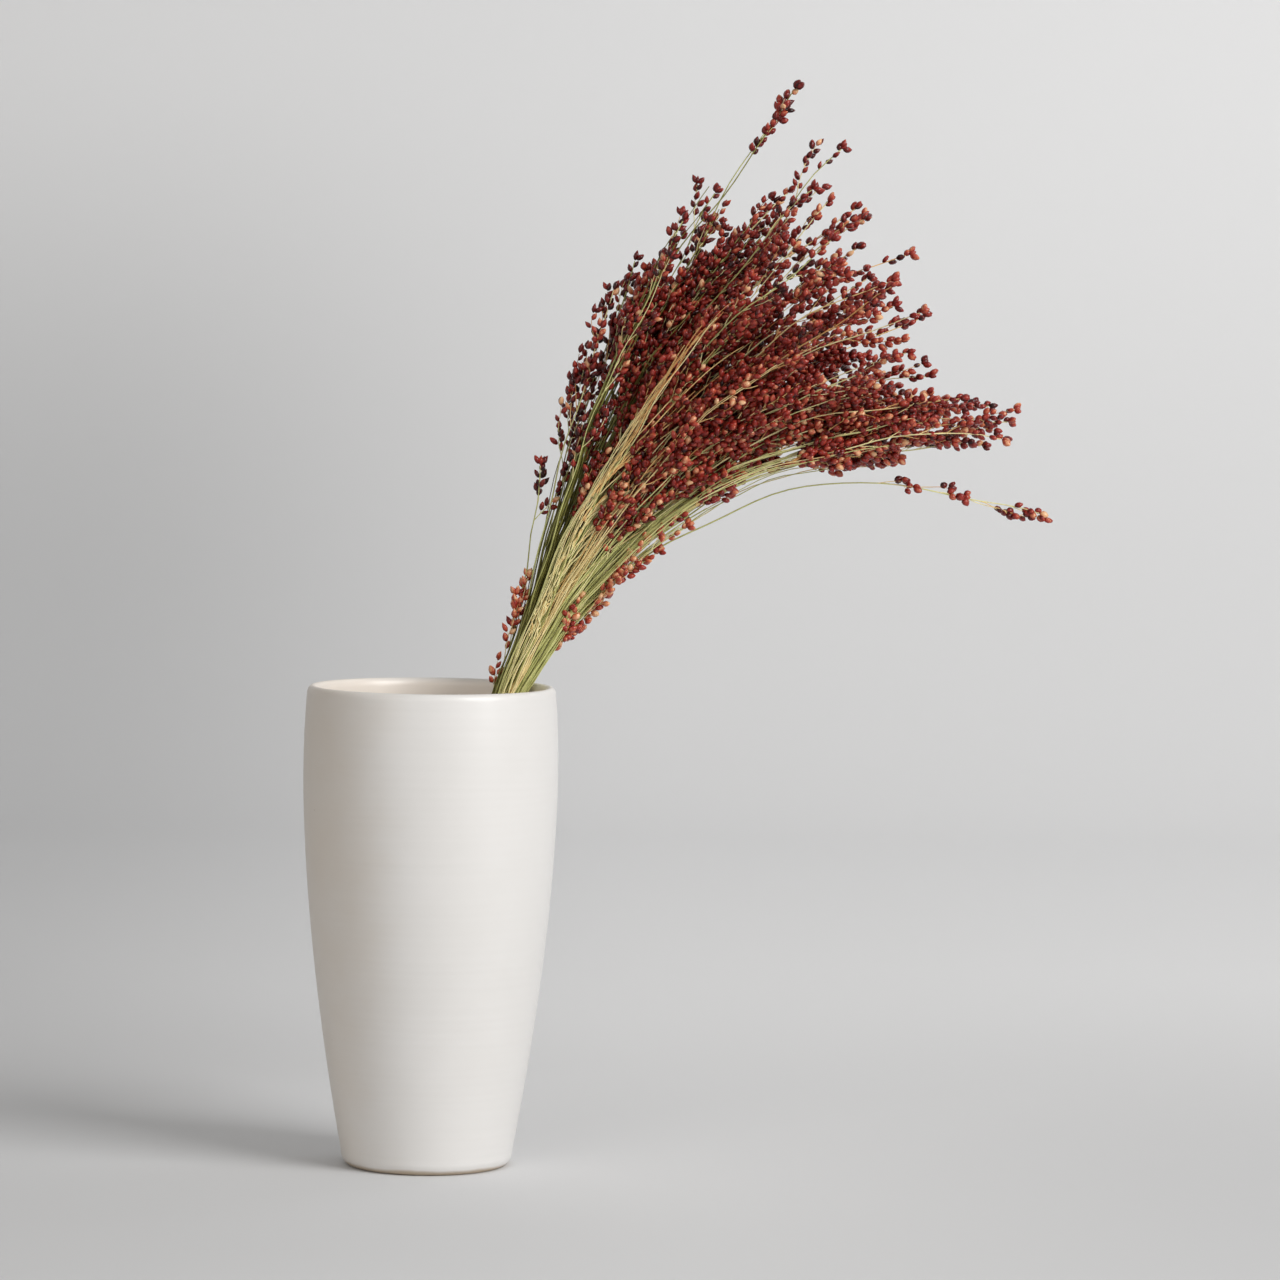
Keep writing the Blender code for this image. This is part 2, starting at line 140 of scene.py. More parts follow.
# The whorls of main branches: where each springs from the axis and its number of branches. Then what each of
# their tufts has: long branches, short ones, and racemes on each long one.
WHORLS = (
    (-0.075, 7, 4, 2, 9),
    (-0.050, 7, 4, 2, 9),
    (-0.022, 6, 4, 2, 9),
    (0.014, 5, 3, 2, 9),
    (0.050, 3, 3, 1, 8),
    (0.085, 2, 3, 1, 8),
)
GOLDEN_TURN = math.radians(137.508)
SPIRAL_START = math.radians(268)
SPIRAL_INNER = 0.26
SPIRAL_POWER = 2.3
MAIN_WIDTH = 0.84
MAIN_REACH = 0.320
SHORTEST = 0.86
UPPER_REACH = 0.050
UPPER_FROM = 0.10
MIDDLE_DIP = 0.030
DIP_P = 0.45
DIP_WIDTH = 0.25
MAIN_LIFT = 7.0

# The single sprays round the bundle's outside: p, q, where each springs round the axis and its lift, both in
# degrees, its reach, the t of its first raceme, its tuft's branches, the racemes on each and the bare strands
# beside them, where its racemes turn, in degrees round from straight outwards, and how far either way.
SINGLES_ROOT = -0.125
SINGLES = {
    "low_spray_2": (1.08, -0.50, -32, 0, 0.122, 0.022, 3, 3, 0, -100, 60),
    "lone_spray": (1.15, 0.00, 0, 0, 0.312, 0.218, 1, 7, 0, 0, 180),
    "low_spray_1": (1.12, 0.50, 32, 0, 0.070, 0.018, 2, 2, 2, -90, 60),
    "left_spray_5": (-0.64, 0.72, 80, 0, 0.278, 0.185, 3, 6, 7, 180, 120),
    "left_spray_3": (-0.86, 0.42, 110, 0, 0.228, 0.150, 2, 4, 2, 0, 80),
    "low_spray_3": (-1.15, 0.30, 140, 0, 0.054, -0.012, 1, 4, 0, 60, 60),
    "left_spray_1": (-0.93, 0.10, 170, 0, 0.172, 0.100, 1, 6, 0, 60, 90),
    "low_spray_4": (-1.22, -0.10, 200, 20, 0.114, 0.078, 1, 2, 0, 180, 120),
    "left_spray_2": (-0.97, -0.25, 225, 0, 0.213, 0.130, 1, 6, 0, 0, 80),
    "top_spray": (-0.71, -0.32, 258, 1, 0.352, 0.306, 1, 5, 8, 0, 180),
    "left_spray_4": (-0.78, -0.64, 291, 0, 0.262, 0.122, 2, 6, 8, 180, 120),
}

# The branches of a tuft: how thick they are from root to tip, how far the others keep from the first, how far
# they go as a share of its reach, and how they ripple.
MAIN_THICK = (0.00066, 0.00028)
FINE_THICK = (0.00048, 0.00022)
THINNING = 0.8
BESIDE = 0.0012
BESIDE_EASE = 0.02
APART = 0.0095
BAND_APART = 0.014
APART_POWER = 1.2
FINE_REACH = (0.74, 0.95)
SHORT_REACH = (0.38, 0.62)
RIPPLE = 0.0006
RIPPLE_EASE = 0.05
RIPPLE_LENGTHS = (0.036, 0.070)
RIPPLE_RATIO = 1.3
FINE_STEP = 0.0095

# At values of p: where a tuft's grains start, at what share of their reach the top ones' branches end, and how
# many bare strands lie beside them. Grains of the finer branches start EARLY times as far out, and those of the
# short ones, if p is within SHORT_P, at SHORT_FROM. Branches whose p is below BAND_P part more, a tuft whose p
# is below TOP_P has more of them, and past EDGE_P the racemes turn into the fan.
GRAIN_STARTS = (
    (-0.60, 0.205),
    (-0.43, 0.160),
    (-0.20, 0.132),
    (0.10, 0.122),
    (0.45, 0.136),
    (0.60, 0.156),
    (0.80, 0.200),
    (1.00, 0.235),
)
EARLY = (0.82, 1.06)
SHORT_FROM = (0.068, 0.088)
SHORT_RACEMES = 3
SHORT_P = (-0.25, 0.50)
BAND_P = -0.35
TOP_P = -0.42
TOP_BRANCHES = 3
TOP_ENDS = ((-0.60, 0.82), (-0.42, 0.96))
STRANDS = ((-0.35, 9), (-0.30, 3), (0.60, 3), (0.80, 6), (1.00, 8))
STRAND_REACH = (0.40, 0.82)
EDGE_P = (0.55, 0.95)
EDGE_LOOSE = 1.1

# A raceme: its thickness from foot to tip, how it leaves its branch and bends back along it in degrees, how
# much its steps stray and sag, and where its spikelets stand on it.
RACEME_THICK = (0.0002625, 0.0001575)
RACEME_OPEN = 30.0
TOP_OPEN = 14.0
LOW_OPEN = 24.0
OPEN_SHARES = (0.7, 1.25)
RACEME_CLOSE = 8.0
CLOSE_SHARES = (0.3, 1.6)
RACEME_STEP = 0.0042
RACEME_KINK = 0.12
RACEME_SAG = 0.06
RACEME_PLACES = (0.1, 0.9)
PAST_TIP = 0.004
TIP_BARE = 0.014
TIP_SPIKELETS = 4
TIP_PLACES = (0.4, 0.9)
TIP_TILT = 32.0
RACEME_BARE = (0.003, 0.008)
RACEME_JOINTS = (3, 6)
LONE_BARE = (0.005, 0.016)
TOP_BARE = (0.002, 0.005)
SPARSE_JOINTS = (1, 3)
JOINT_PITCH = 0.0042
JOINT_TURN = 0.5
TILT = (22.0, 40.0)
PEDICEL = (0.0003, 0.0011)
PAIRED = 0.55
PAIR_TURN = 0.6
PAIR_TILT = (25.0, 50.0)
PAIR_PEDICEL = 0.0018
PEDICEL_THICK = (0.000168, 0.00018)
PEDICEL_SUNK = 0.0004
END_TILT = (0.0, 8.0)
END_PEDICEL = 0.0003
CLUSTER_TILT = (28.0, 48.0)
CLUSTER_PEDICEL = 0.0011

# The spikelets' length and thickness on the lines p = 1 and p = -1, how both vary, and the tones of husks and
# straw at values of p and how they vary.
SPIKELET_LOW = (0.0047, 0.00354)
SPIKELET_HIGH = (0.0055, 0.00333)
SPIKELET_SIDES = 6
SPIKELET_SIZES = (0.84, 1.12)
SPIKELET_WIDTHS = (0.92, 1.06)
SPIKELET_FLATNESS = 0.94
LARGER_HUSK = 1.07
SMALL_SPIKELET = 0.0052
SPARSE_THICKNESS = 0.00385
SMALL_SHAPES = ("plump", "plump", "gaping")
LARGE_SHAPES = ("pointed", "pointed", "plump")
# Husk tones darken towards p = -1, the head's left: partly their own colour, partly painted shade.
HUSK_TONES_AND_SHADE = ((-1.0, 0.20), (-0.6, 0.27), (-0.2, 0.35), (0.3, 0.39), (1.2, 0.40))
LOW_HUSK_TONE = 0.65
TIP_HUSK_TONE = 0.15
RACEME_HUSK_TONES = (-0.16, 0.18)
HUSK_TONE_SPREAD = 0.14
PALE_SHARE = 0.03
PALE_TONES = (0.88, 1.0)
# Straw is darkest from p = -0.25 to -1, the band on the head's left: partly olive straw, partly painted shade.
STRAW_TONES_AND_SHADE = ((-1.0, 0.08), (-0.5, 0.04), (-0.25, 0.14), (-0.1, 0.48), (0.2, 0.52), (0.5, 0.30), (1.2, 0.26))
TUFT_TONE = 0.07
BRANCH_TONE = 0.10
BRANCH_TIP_TONES = (0.1, 0.35)
RACEME_TONES = (-0.05, 0.30)
RACEME_TIP_TONE = 0.2
PEDICEL_TIP_TONE = 0.1

# The strip of fibres that the axis parts into, down the front of the head.
STRIP_P = -0.33
STRIP_Q = -1.15
STRIP_ROOT = -0.045
STRIP_REACH = 0.265
STRIP_FIBRES = 17
STRIP_SHORTEST = 0.42
STRIP_STEP = 0.006
STRIP_ROOT_TURN = math.radians(265)
STRIP_WIDTHS = ((-0.045, 0.0056), (0.0, 0.007), (0.05, 0.008), (0.12, 0.0058), (0.2, 0.0036), (0.27, 0.002))
STRIP_DEPTH = 0.0018
STRIP_THICK = (0.00022, 0.00052)
STRIP_THINNING = 0.5
STRIP_WEAVE = 0.0009
STRIP_WEAVE_DEEP = 0.5
STRIP_WEAVE_LENGTHS = (0.030, 0.070)
STRIP_TONES = ((-0.05, 0.42), (0.06, 0.48), (0.13, 0.57), (0.17, 0.72), (0.26, 0.84))
# Each fibre's shift of tone, mostly darker: partly the fibres' own variety, partly painted shade in the gaps
# between them.
STRIP_TONE_AND_SHADE_SHIFTS = (-0.312, 0.096)

# The wavy fibres that leave the strip: where, how many and how wavy, how long they are, how they swing aside
# and dive into the head, the depth and length of their waves and how soon these fade.
WAVY_JOINTS = ((0.034, 7, 1.0), (0.060, 7, 0.45), (0.086, 8, 0.35), (0.118, 7, 0.6))
WAVY_ROOT_SPREAD = 0.010
WAVY_REACH = (0.048, 0.100)
WAVY_ASIDE = (-0.3, 0.5)
WAVY_SWING = (6.0, 27.0)
WAVY_EASE = (0.006, 0.014)
WAVY_START_DEEP = -0.0006
WAVY_SINK = 0.04
WAVY_DIVE = 1.6
WAVY_DEPTH = 0.0014
WAVY_DEPTHS = (0.4, 1.0)
WAVY_ROUND = 0.6
WAVY_LENGTHS = (0.0075, 0.0140)
WAVY_FADE = 0.022
WAVY_STEP = 0.0012
WAVY_RADIUS = 0.00038
WAVY_THINNING = 0.45
WAVY_TONES = (-0.08, 0.24)

# The floor, and the sweep and wall behind it.
FLOOR_WIDTH = 24.0
FLOOR_FRONT = -4.0
FLOOR_BACK = 1.75
SWEEP_RADIUS = 0.9
SWEEP_STEPS = 24
WALL_HEIGHT = 4.0

# The lights: where each stands, what it faces, its size, power and colour. Then the light all round.
LIGHTS = {
    "window": ((1.9, -1.5, 1.7), (0.1, 0.0, 0.25), 1.5, 56, (1.0, 0.99, 0.975)),
    "sill": ((2.0, -1.45, 0.62), (0.05, 0.0, 0.22), 0.45, 4, (0.97, 0.985, 1.0)),
    "fill": ((-1.5, -3.0, 1.2), (0.1, 0.0, 0.25), 2.0, 16, (1.0, 0.96, 0.91)),
    "wall": ((1.3, 1.2, 1.9), (0.2, 2.65, 0.6), 1.2, 8, (1.0, 1.0, 1.0)),
}
ROOM_COLOR = (1.0, 0.98, 0.95, 1.0)
ROOM_STRENGTH = 0.345

# The photograph's view: what the camera looks at, how far away and how high it stands, and its roll.
CAMERA_TARGET = Vector((0.1086, 0.0, 0.2775))
CAMERA_DISTANCE = 2.840
CAMERA_PITCH = math.radians(3.6)
CAMERA_ROLL = math.radians(0.8)
CAMERA_LENS = 152.7


# The fan's lines, as in the frame.


def lean(t, p):
    """Angle in degrees from the vertical towards +X of the fan's line p at t."""
    if t < 0:
        stem = RIM_LEAN + (RIM_LEAN - FOOT_LEAN) * t / RIM_PLACE.z
        return stem + RIM_PARTING * p * math.exp(t / GATHER_BELOW)
    at_rim = RIM_LEAN + RIM_PARTING * p
    free = FREE_LEAN + FREE_PARTING * p
    return free + (at_rim - free) * math.exp(-t / GATHER_ABOVE) + (DROOP + DROOP_PARTING * p) * t / REACH


def turn_back(t, q):
    """Angle in degrees towards +Y of the fan's line q at t."""
    if t < 0:
        return RIM_SIDE
    parting = NEAR_SIDE * (1 - math.exp(-t / NEAR_EASE)) + FAR_SIDE * t / REACH
    return RIM_SIDE * math.exp(-t / SIDE_EASE) + parting * q


def heading(t, p, q, lift=0.0):
    """Direction of the fan's line (p, q) at t, with its end lifted by some degrees."""
    forward = math.radians(lean(t, p) - lift * max(0.0, t / REACH) ** 2)
    back = math.radians(turn_back(t, q))
    return Vector((math.sin(forward) * math.cos(back), math.sin(back), math.cos(forward) * math.cos(back)))


def fan_line(p, q, low, high, lift=0.0):
    """Places along the line (p, q), one a STEP from low to high, keyed by the steps past the rim."""
    across = math.radians(RIM_LEAN)
    start = RIM_PLACE + BUNDLE_RADIUS * Vector((p * math.cos(across), q, -p * math.sin(across)))
    line = {0: start}
    for k in range(round(high / STEP)):
        line[k + 1] = line[k] + heading((k + 0.5) * STEP, p, q, lift) * STEP
    for k in range(0, round(low / STEP), -1):
        line[k - 1] = line[k] - heading((k - 0.5) * STEP, p, q, lift) * STEP
    return line


def read_off(stations, at):
    """A value between those of the stations before and after a place."""
    for (low, low_value), (high, high_value) in zip(stations, stations[1:]):
        if at <= high:
            return low_value + (high_value - low_value) * max(0.0, at - low) / (high - low)
    return stations[-1][1]


def stem_radius(t):
    """Half the thickness of the stem and axis at t."""
    return read_off(STEM_RADII, t)


class Spray:
    """One spray of the frame: its line in space, and what its tuft bears."""

    def __init__(self, name, p, q, root, root_turn, lift, reach, axis):
        self.name = name
        self.random = random.Random(f"{SEED} {name}")
        self.p = p
        self.q = q
        self.root = root
        self.reach = reach
        first = round(root / STEP)
        upward = heading(root, AXIS_P, 0.0)
        across = Vector((upward.z, 0.0, -upward.x)).normalized()
        out = across * math.cos(root_turn) + upward.cross(across) * math.sin(root_turn)
        foot = out * (stem_radius(root) + BRANCH_RADIUS + TOUCH_GAP)
        line = fan_line(p, q, root, reach, lift)
        self.straight = []
        for k in range(first, round(reach / STEP) + 1):
            rise = min(1.0, (k * STEP - root) / ROOT_SPREAD)
            spread = rise * rise * (3 - 2 * rise)
            place = line[k] if spread >= 1.0 else (axis[k] + foot).lerp(line[k], spread)
            self.straight.append((k * STEP, place, spread))
        self.stray()

    def stray(self):
        """Lets the branch stray from its line, by the same draws as in the frame."""
        phases = [self.random.uniform(0, math.tau) for _ in WAVE_LENGTHS]
        drifts = [self.random.uniform(-DRIFT, DRIFT) for _ in WAVE_LENGTHS]
        self.places = []
        for t, place, spread in self.straight:
            loose = spread * max(0.0, t - STRAY_FROM) / REACH
            swing, bob = (
                WAVE * loose * math.sin(math.tau * t / length + phase) + drift * loose ** 2
                for length, phase, drift in zip(WAVE_LENGTHS, phases, drifts)
            )
            self.places.append(place + Vector((swing * WAVE_FORWARD, bob, -swing)))

    def place(self, t):
        """The branch's place at t."""
        at = (t - self.root) / STEP
        k = min(max(int(at), 0), len(self.places) - 2)
        return self.places[k].lerp(self.places[k + 1], at - k)

    def along(self, t):
        """The branch's direction at t."""
        return (self.place(t + STEP) - self.place(t - STEP)).normalized()

    def frame_at(self, t):
        """Two directions square to the branch at t: across the fan, and to its back."""
        along = self.along(t)
        across = Vector((0.0, 1.0, 0.0)).cross(along).normalized()
        return across, along.cross(across)

    def beside(self, t, side, deep):
        """A place beside the branch at t, so far across the fan and to its back."""
        across, back = self.frame_at(t)
        return self.place(t) + across * side + back * deep


def plan_sprays():
    """All the sprays of the frame, each clear of those before it, with what their tufts bear."""
    axis = fan_line(AXIS_P, 0.0, -RIM_PLACE.z, REACH)
    sprays = []
    total = sum(whorl[1] for whorl in WHORLS)
    for number, (root, count, branches, shorts, racemes) in enumerate(WHORLS, start=1):
        for k in range(count):
            share = len(sprays) / (total - 1)
            out = (1 - (1 - SPIRAL_INNER ** SPIRAL_POWER) * share) ** (1 / SPIRAL_POWER)
            angle = SPIRAL_START + GOLDEN_TURN * len(sprays)
            across = MAIN_WIDTH * out * math.cos(angle)
            back = out * math.sin(angle)
            name = f"spray_{number}_{k + 1}"
            p = AXIS_P + across
            draw = random.Random(f"{SEED} reach {name}")
            longest = MAIN_REACH + UPPER_REACH * max(0.0, UPPER_FROM - p)
            longest -= MIDDLE_DIP * math.exp(-(((p - DIP_P) / DIP_WIDTH) ** 2))
            reach = longest * draw.uniform(SHORTEST, 1.0)
            lift = MAIN_LIFT * draw.uniform(-1, 1)
            spray = Spray(name, p, back, root, math.atan2(back, across), lift, reach, axis)
            spray.grains_from = read_off(GRAIN_STARTS, p)
            spray.branches, spray.shorts, spray.racemes = branches, shorts, racemes
            if p < TOP_P:
                spray.branches += TOP_BRANCHES
            spray.strands = round(read_off(STRANDS, p))
            edge = min(1.0, max(0.0, (p - EDGE_P[0]) / (EDGE_P[1] - EDGE_P[0])))
            spray.facing = math.atan2(-back, -across)
            spray.loose = math.pi - (math.pi - EDGE_LOOSE) * edge
            sprays.append(spray)
    for name, single in SINGLES.items():
        p, q, turn, lift, reach, grains_from, branches, racemes, strands, turned, loose = single
        spray = Spray(name, p, q, SINGLES_ROOT, math.radians(turn), lift, reach, axis)
        spray.grains_from = grains_from
        spray.branches, spray.shorts, spray.strands, spray.racemes = branches, 0, strands, racemes
        spray.facing = math.atan2(q, p - AXIS_P) + math.radians(turned)
        spray.loose = math.radians(loose)
        sprays.append(spray)
    part_sprays(sprays)
    return sprays


def part_sprays(sprays):
    """Redraws each spray's stray until it is clear of those before it, as in the frame."""
    taken = []
    apart = 2 * BRANCH_RADIUS + CLEARANCE
    for spray in sprays:
        tree = KDTree(len(taken))
        for number, place in enumerate(taken):
            tree.insert(place, number)
        tree.balance()
        for _ in range(BRANCH_TRIES):
            if not taken or all(tree.find(place)[2] >= apart for place in spray.places[FREE_FROM:]):
                break
            spray.stray()
        taken.extend(spray.places)


# Materials.


class Value:
    """A number worked out at each place of a surface, with arithmetic that adds Math nodes."""

    def __init__(self, finish, socket):
        self.finish = finish
        self.socket = socket

    def math(self, operation, first, second):
        """A Math node on two values or numbers."""
        return self.finish.add("Math", {"operation": operation}, {0: first, 1: second})

    def __add__(self, other):
        return self.math("ADD", self, other)

    def __radd__(self, other):
        return self.math("ADD", other, self)

    def __sub__(self, other):
        return self.math("SUBTRACT", self, other)

    def __rsub__(self, other):
        return self.math("SUBTRACT", other, self)

    def __mul__(self, other):
        return self.math("MULTIPLY", self, other)

    def __rmul__(self, other):
        return self.math("MULTIPLY", other, self)


class Finish:
    """A material and its nodes."""

    def __init__(self, name):
        self.material = bpy.data.materials.new(name)
        self.material.use_nodes = True
        self.nodes = self.material.node_tree.nodes
        self.links = self.material.node_tree.links
        self.shader = self.nodes["Principled BSDF"]

    def feed(self, node, sockets):
        """Sets a node's sockets to numbers or colours, or links values to them."""
        for key, given in sockets.items():
            if isinstance(given, Value):
                self.links.new(given.socket, node.inputs[key])
            else:
                node.inputs[key].default_value = given

    def add(self, kind, settings, sockets, output=0):
        """A node of a kind with its settings and sockets, and the value of its output."""
        node = self.nodes.new("ShaderNode" + kind)
        for key, given in settings.items():
            if key == "stops":
                ramp = node.color_ramp
                while len(ramp.elements) < len(given):
                    ramp.elements.new(1.0)
                for element, (position, color) in zip(ramp.elements, given):
                    element.position = position
                    element.color = (*color, 1.0)
            else:
                setattr(node, key, given)
        self.feed(node, sockets)
        return Value(self, node.outputs[output])

    def place(self):
        """The place on the object."""
        return self.add("TexCoord", {}, {}, "Object")

    def along(self, axis):
        """The place on the object along X, Y or Z."""
        return self.add("SeparateXYZ", {}, {"Vector": self.place()}, axis)

    def noise(self, scale, detail=2.0, stretch=None):
        """Noise from 0 to 1, that many times a metre, stretched along an axis if asked."""
        place = self.place()
        if stretch:
            place = self.add("Mapping", {}, {"Vector": place, "Scale": stretch})
        return self.add("TexNoise", {}, {"Vector": place, "Scale": scale, "Detail": detail}, "Fac")

    def attribute(self, name):
        """A value that the mesh carries."""
        return self.add("Attribute", {"attribute_name": name}, {}, "Fac")

    def ramp(self, value, stops):
        """A colour picked by a value."""
        return self.add("ValToRGB", {"stops": stops}, {"Fac": value}, "Color")

    def between(self, value, low, high):
        """0 below low, 1 above high, smooth between them."""
        ease = {"interpolation_type": "SMOOTHSTEP"}
        return self.add("MapRange", ease, {"Value": value, "From Min": low, "From Max": high})

    def mix(self, share, first, second):
        """A colour between two colours."""
        return self.add("Mix", {"data_type": "RGBA"}, {"Factor": share, 6: first, 7: second}, 2)

    def bump(self, value, strength, distance):
        """Raises the surface by a value."""
        return self.add("Bump", {}, {"Height": value, "Strength": strength, "Distance": distance}, "Normal")

    def give(self, **sockets):
        """Sets the shader's sockets, and returns the material."""
        self.feed(self.shader, {key.replace("_", " "): given for key, given in sockets.items()})
        return self.material


def glaze_finish():
    """Satin white glaze over beige stoneware: thin at the foot, with faint pinholes. Painted shade makes it
    darker and warmer towards the left side, and painted light makes it lighter and warmer inside.
    """
    finish = Finish("satin_glaze")
    cloud = finish.noise(28, 3)
    drift = finish.noise(26, 3, (0.2, 0.2, 1.6))
    height = finish.along("Z")
    rings = finish.add("Math", {"operation": "SINE"}, {0: height * (math.tau / 0.0050) + drift * 16})
    # Painted shade: 1 on the vase's left side (-X), fading out towards its middle.
    painted_shade_left = 1 - finish.between(finish.along("X") + (cloud - 0.5) * 0.03, -0.072, -0.004)
    pits = finish.add("TexVoronoi", {}, {"Vector": finish.place(), "Scale": 95}, "Distance")
    pit = 1 - finish.between(pits, 0.02, 0.055)
    rare = finish.between(finish.noise(60, 1), 0.60, 0.66)
    pinhole = pit * rare
    inner = finish.attribute("inner")
    foot = 1 - finish.between(height + (cloud - 0.5) * 0.004, 0.0012, 0.0034)
    glaze = finish.mix(cloud, (0.745, 0.73, 0.71, 1), (0.79, 0.775, 0.76, 1))
    # Painted shade turns the glaze a darker, warmer beige on the left side.
    glaze = finish.mix(painted_shade_left * 0.75, glaze, (0.70, 0.61, 0.51, 1))
    # Painted light: the glaze is lighter and warmer inside the vase.
    glaze = finish.mix(inner * 0.9, glaze, (0.90, 0.83, 0.76, 1))
    glaze = finish.mix(pinhole * 0.55, glaze, (0.42, 0.34, 0.25, 1))
    glaze = finish.mix(foot, glaze, (0.52, 0.43, 0.33, 1))
    relief = rings * 0.7 * drift + cloud * 1.2 - pinhole * 2.0
    return finish.give(
        Base_Color=glaze,
        Roughness=0.40 + cloud * 0.10 + foot * 0.4,
        Coat_Weight=0.45 - foot * 0.45,
        Coat_Roughness=0.24,
        Normal=finish.bump(relief, 0.35, 0.00012),
    )


def straw_finish():
    """Dry straw, from near-black olive through green and yellow to orange and brown by the tone that each
    branch carries; its darkest olive, on the head's left, is partly the straw's own colour and partly painted
    shade.
    """
    finish = Finish("straw")
    tone = finish.attribute("tone")
    cloud = finish.noise(150, 2)
    fine = finish.noise(1100, 2)
    # The two lowest stops, near-black and dark olive, colour the head's left: partly olive straw, partly
    # painted shade.
    stops = (
        (0.0, (0.080, 0.072, 0.012)),
        (0.14, (0.25, 0.24, 0.055)),
        (0.30, (0.62, 0.63, 0.25)),
        (0.50, (0.92, 0.82, 0.45)),
        (0.70, (0.82, 0.55, 0.22)),
        (0.86, (0.66, 0.27, 0.09)),
        (1.0, (0.26, 0.10, 0.04)),
    )
    color = finish.ramp(tone + (cloud - 0.5) * 0.22, stops)
    color = finish.mix(finish.between(fine, 0.52, 0.75) * 0.4, color, (0.23, 0.17, 0.08, 1))
    return finish.give(
        Base_Color=color,
        Roughness=0.46 + fine * 0.2,
        Specular_IOR_Level=0.25,
        Normal=finish.bump(fine, 0.4, 0.0001),
    )


def husk_finish():
    """Glossy dry husks, from near black through dark red to orange, lighter at the lips; on the head's left
    they are darker, partly in their own colour and partly as painted shade.
    """
    finish = Finish("husk")
    tone = finish.attribute("tone")
    lip = finish.attribute("lip")
    rise = finish.attribute("rise")
    cloud = finish.noise(420, 2)
    fine = finish.noise(2300, 2)
    # The near-black end, which the head's left gets, is partly painted shade.
    stops = (
        (0.0, (0.018, 0.002, 0.002)),
        (0.25, (0.110, 0.004, 0.003)),
        (0.50, (0.270, 0.016, 0.011)),
        (0.75, (0.440, 0.068, 0.038)),
        (0.92, (0.62, 0.19, 0.08)),
        (1.0, (0.78, 0.46, 0.25)),
    )
    shade = tone + (cloud - 0.5) * 0.50 + (rise - 0.5) * 0.36
    husk = finish.ramp(shade, stops)
    grain = finish.ramp(shade + 0.24, stops)
    husk = finish.mix(lip * finish.between(fine + cloud, 0.75, 1.15), husk, grain)
    return finish.give(
        Base_Color=husk,
        Roughness=0.30 + fine * 0.18,
        Specular_IOR_Level=0.10,
        Coat_Weight=0.70,
        Coat_Roughness=0.08,
        Normal=finish.bump(fine, 0.25, 0.0001),
    )


# Modelling.


def take(piece):
    """Makes a piece the only one selected, and active."""
    bpy.ops.object.select_all(action="DESELECT")
    piece.select_set(True)
    bpy.context.view_layer.objects.active = piece


def finish_piece(piece, name, material, node=None):
    """Names a piece, gives it its material, and puts it in the place of its node of the frame, if any."""
    piece.name = name
    piece.data.name = name
    piece.data.materials.clear()
    piece.data.materials.append(material)
    if node:
        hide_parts(node)
    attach(piece, "root")


def vase_radius(height):
    """Outer radius of the vase's side: it swells up to the shoulder, then closes a little to the lip."""
    if height < VASE_SHOULDER_HEIGHT:
        share = (VASE_SHOULDER_HEIGHT - height) / (VASE_SHOULDER_HEIGHT - VASE_EDGE_HEIGHT)
        return VASE_SHOULDER_RADIUS - (VASE_SHOULDER_RADIUS - VASE_EDGE_RADIUS) * share ** VASE_SWELL
    share = (height - VASE_SHOULDER_HEIGHT) / (VASE_LIP_HEIGHT - VASE_SHOULDER_HEIGHT)
    return VASE_SHOULDER_RADIUS - (VASE_SHOULDER_RADIUS - VASE_LIP_RADIUS) * share ** VASE_CLOSE


def finger_mark(height, phase):
    """How far a throwing ring dips into the wall at a height."""
    uneven = 0.5 + 0.5 * math.sin(math.tau * height / RING_BEAT + phase)
    ring = 0.5 + 0.5 * math.sin(math.tau * height / RING_SPACING + phase)
    return RING_DEPTH * (RING_EVEN + (1 - RING_EVEN) * uneven) * ring


def vase_outside():
    """Radius and height up the vase's outside, from its foot to the lip's outer edge."""
    profile = [(VASE_FOOT_RADIUS * share, 0.0) for share in FOOT_RINGS]
    for k in range(FOOT_STEPS + 1):
        angle = math.radians(90 * k / FOOT_STEPS)
        radius = VASE_FOOT_RADIUS + (VASE_EDGE_RADIUS - VASE_FOOT_RADIUS) * math.sin(angle)
        profile.append((radius, VASE_EDGE_HEIGHT * (1 - math.cos(angle))))
    steps = round((VASE_LIP_HEIGHT - VASE_EDGE_HEIGHT) / VASE_STEP)
    for k in range(1, steps):
        height = VASE_EDGE_HEIGHT + (VASE_LIP_HEIGHT - VASE_EDGE_HEIGHT) * k / steps
        fade = min(1.0, k / FADE_OUTSIDE, (steps - k) / FADE_OUTSIDE)
        profile.append((vase_radius(height) - finger_mark(height, RING_OUTSIDE) * fade, height))
    return profile


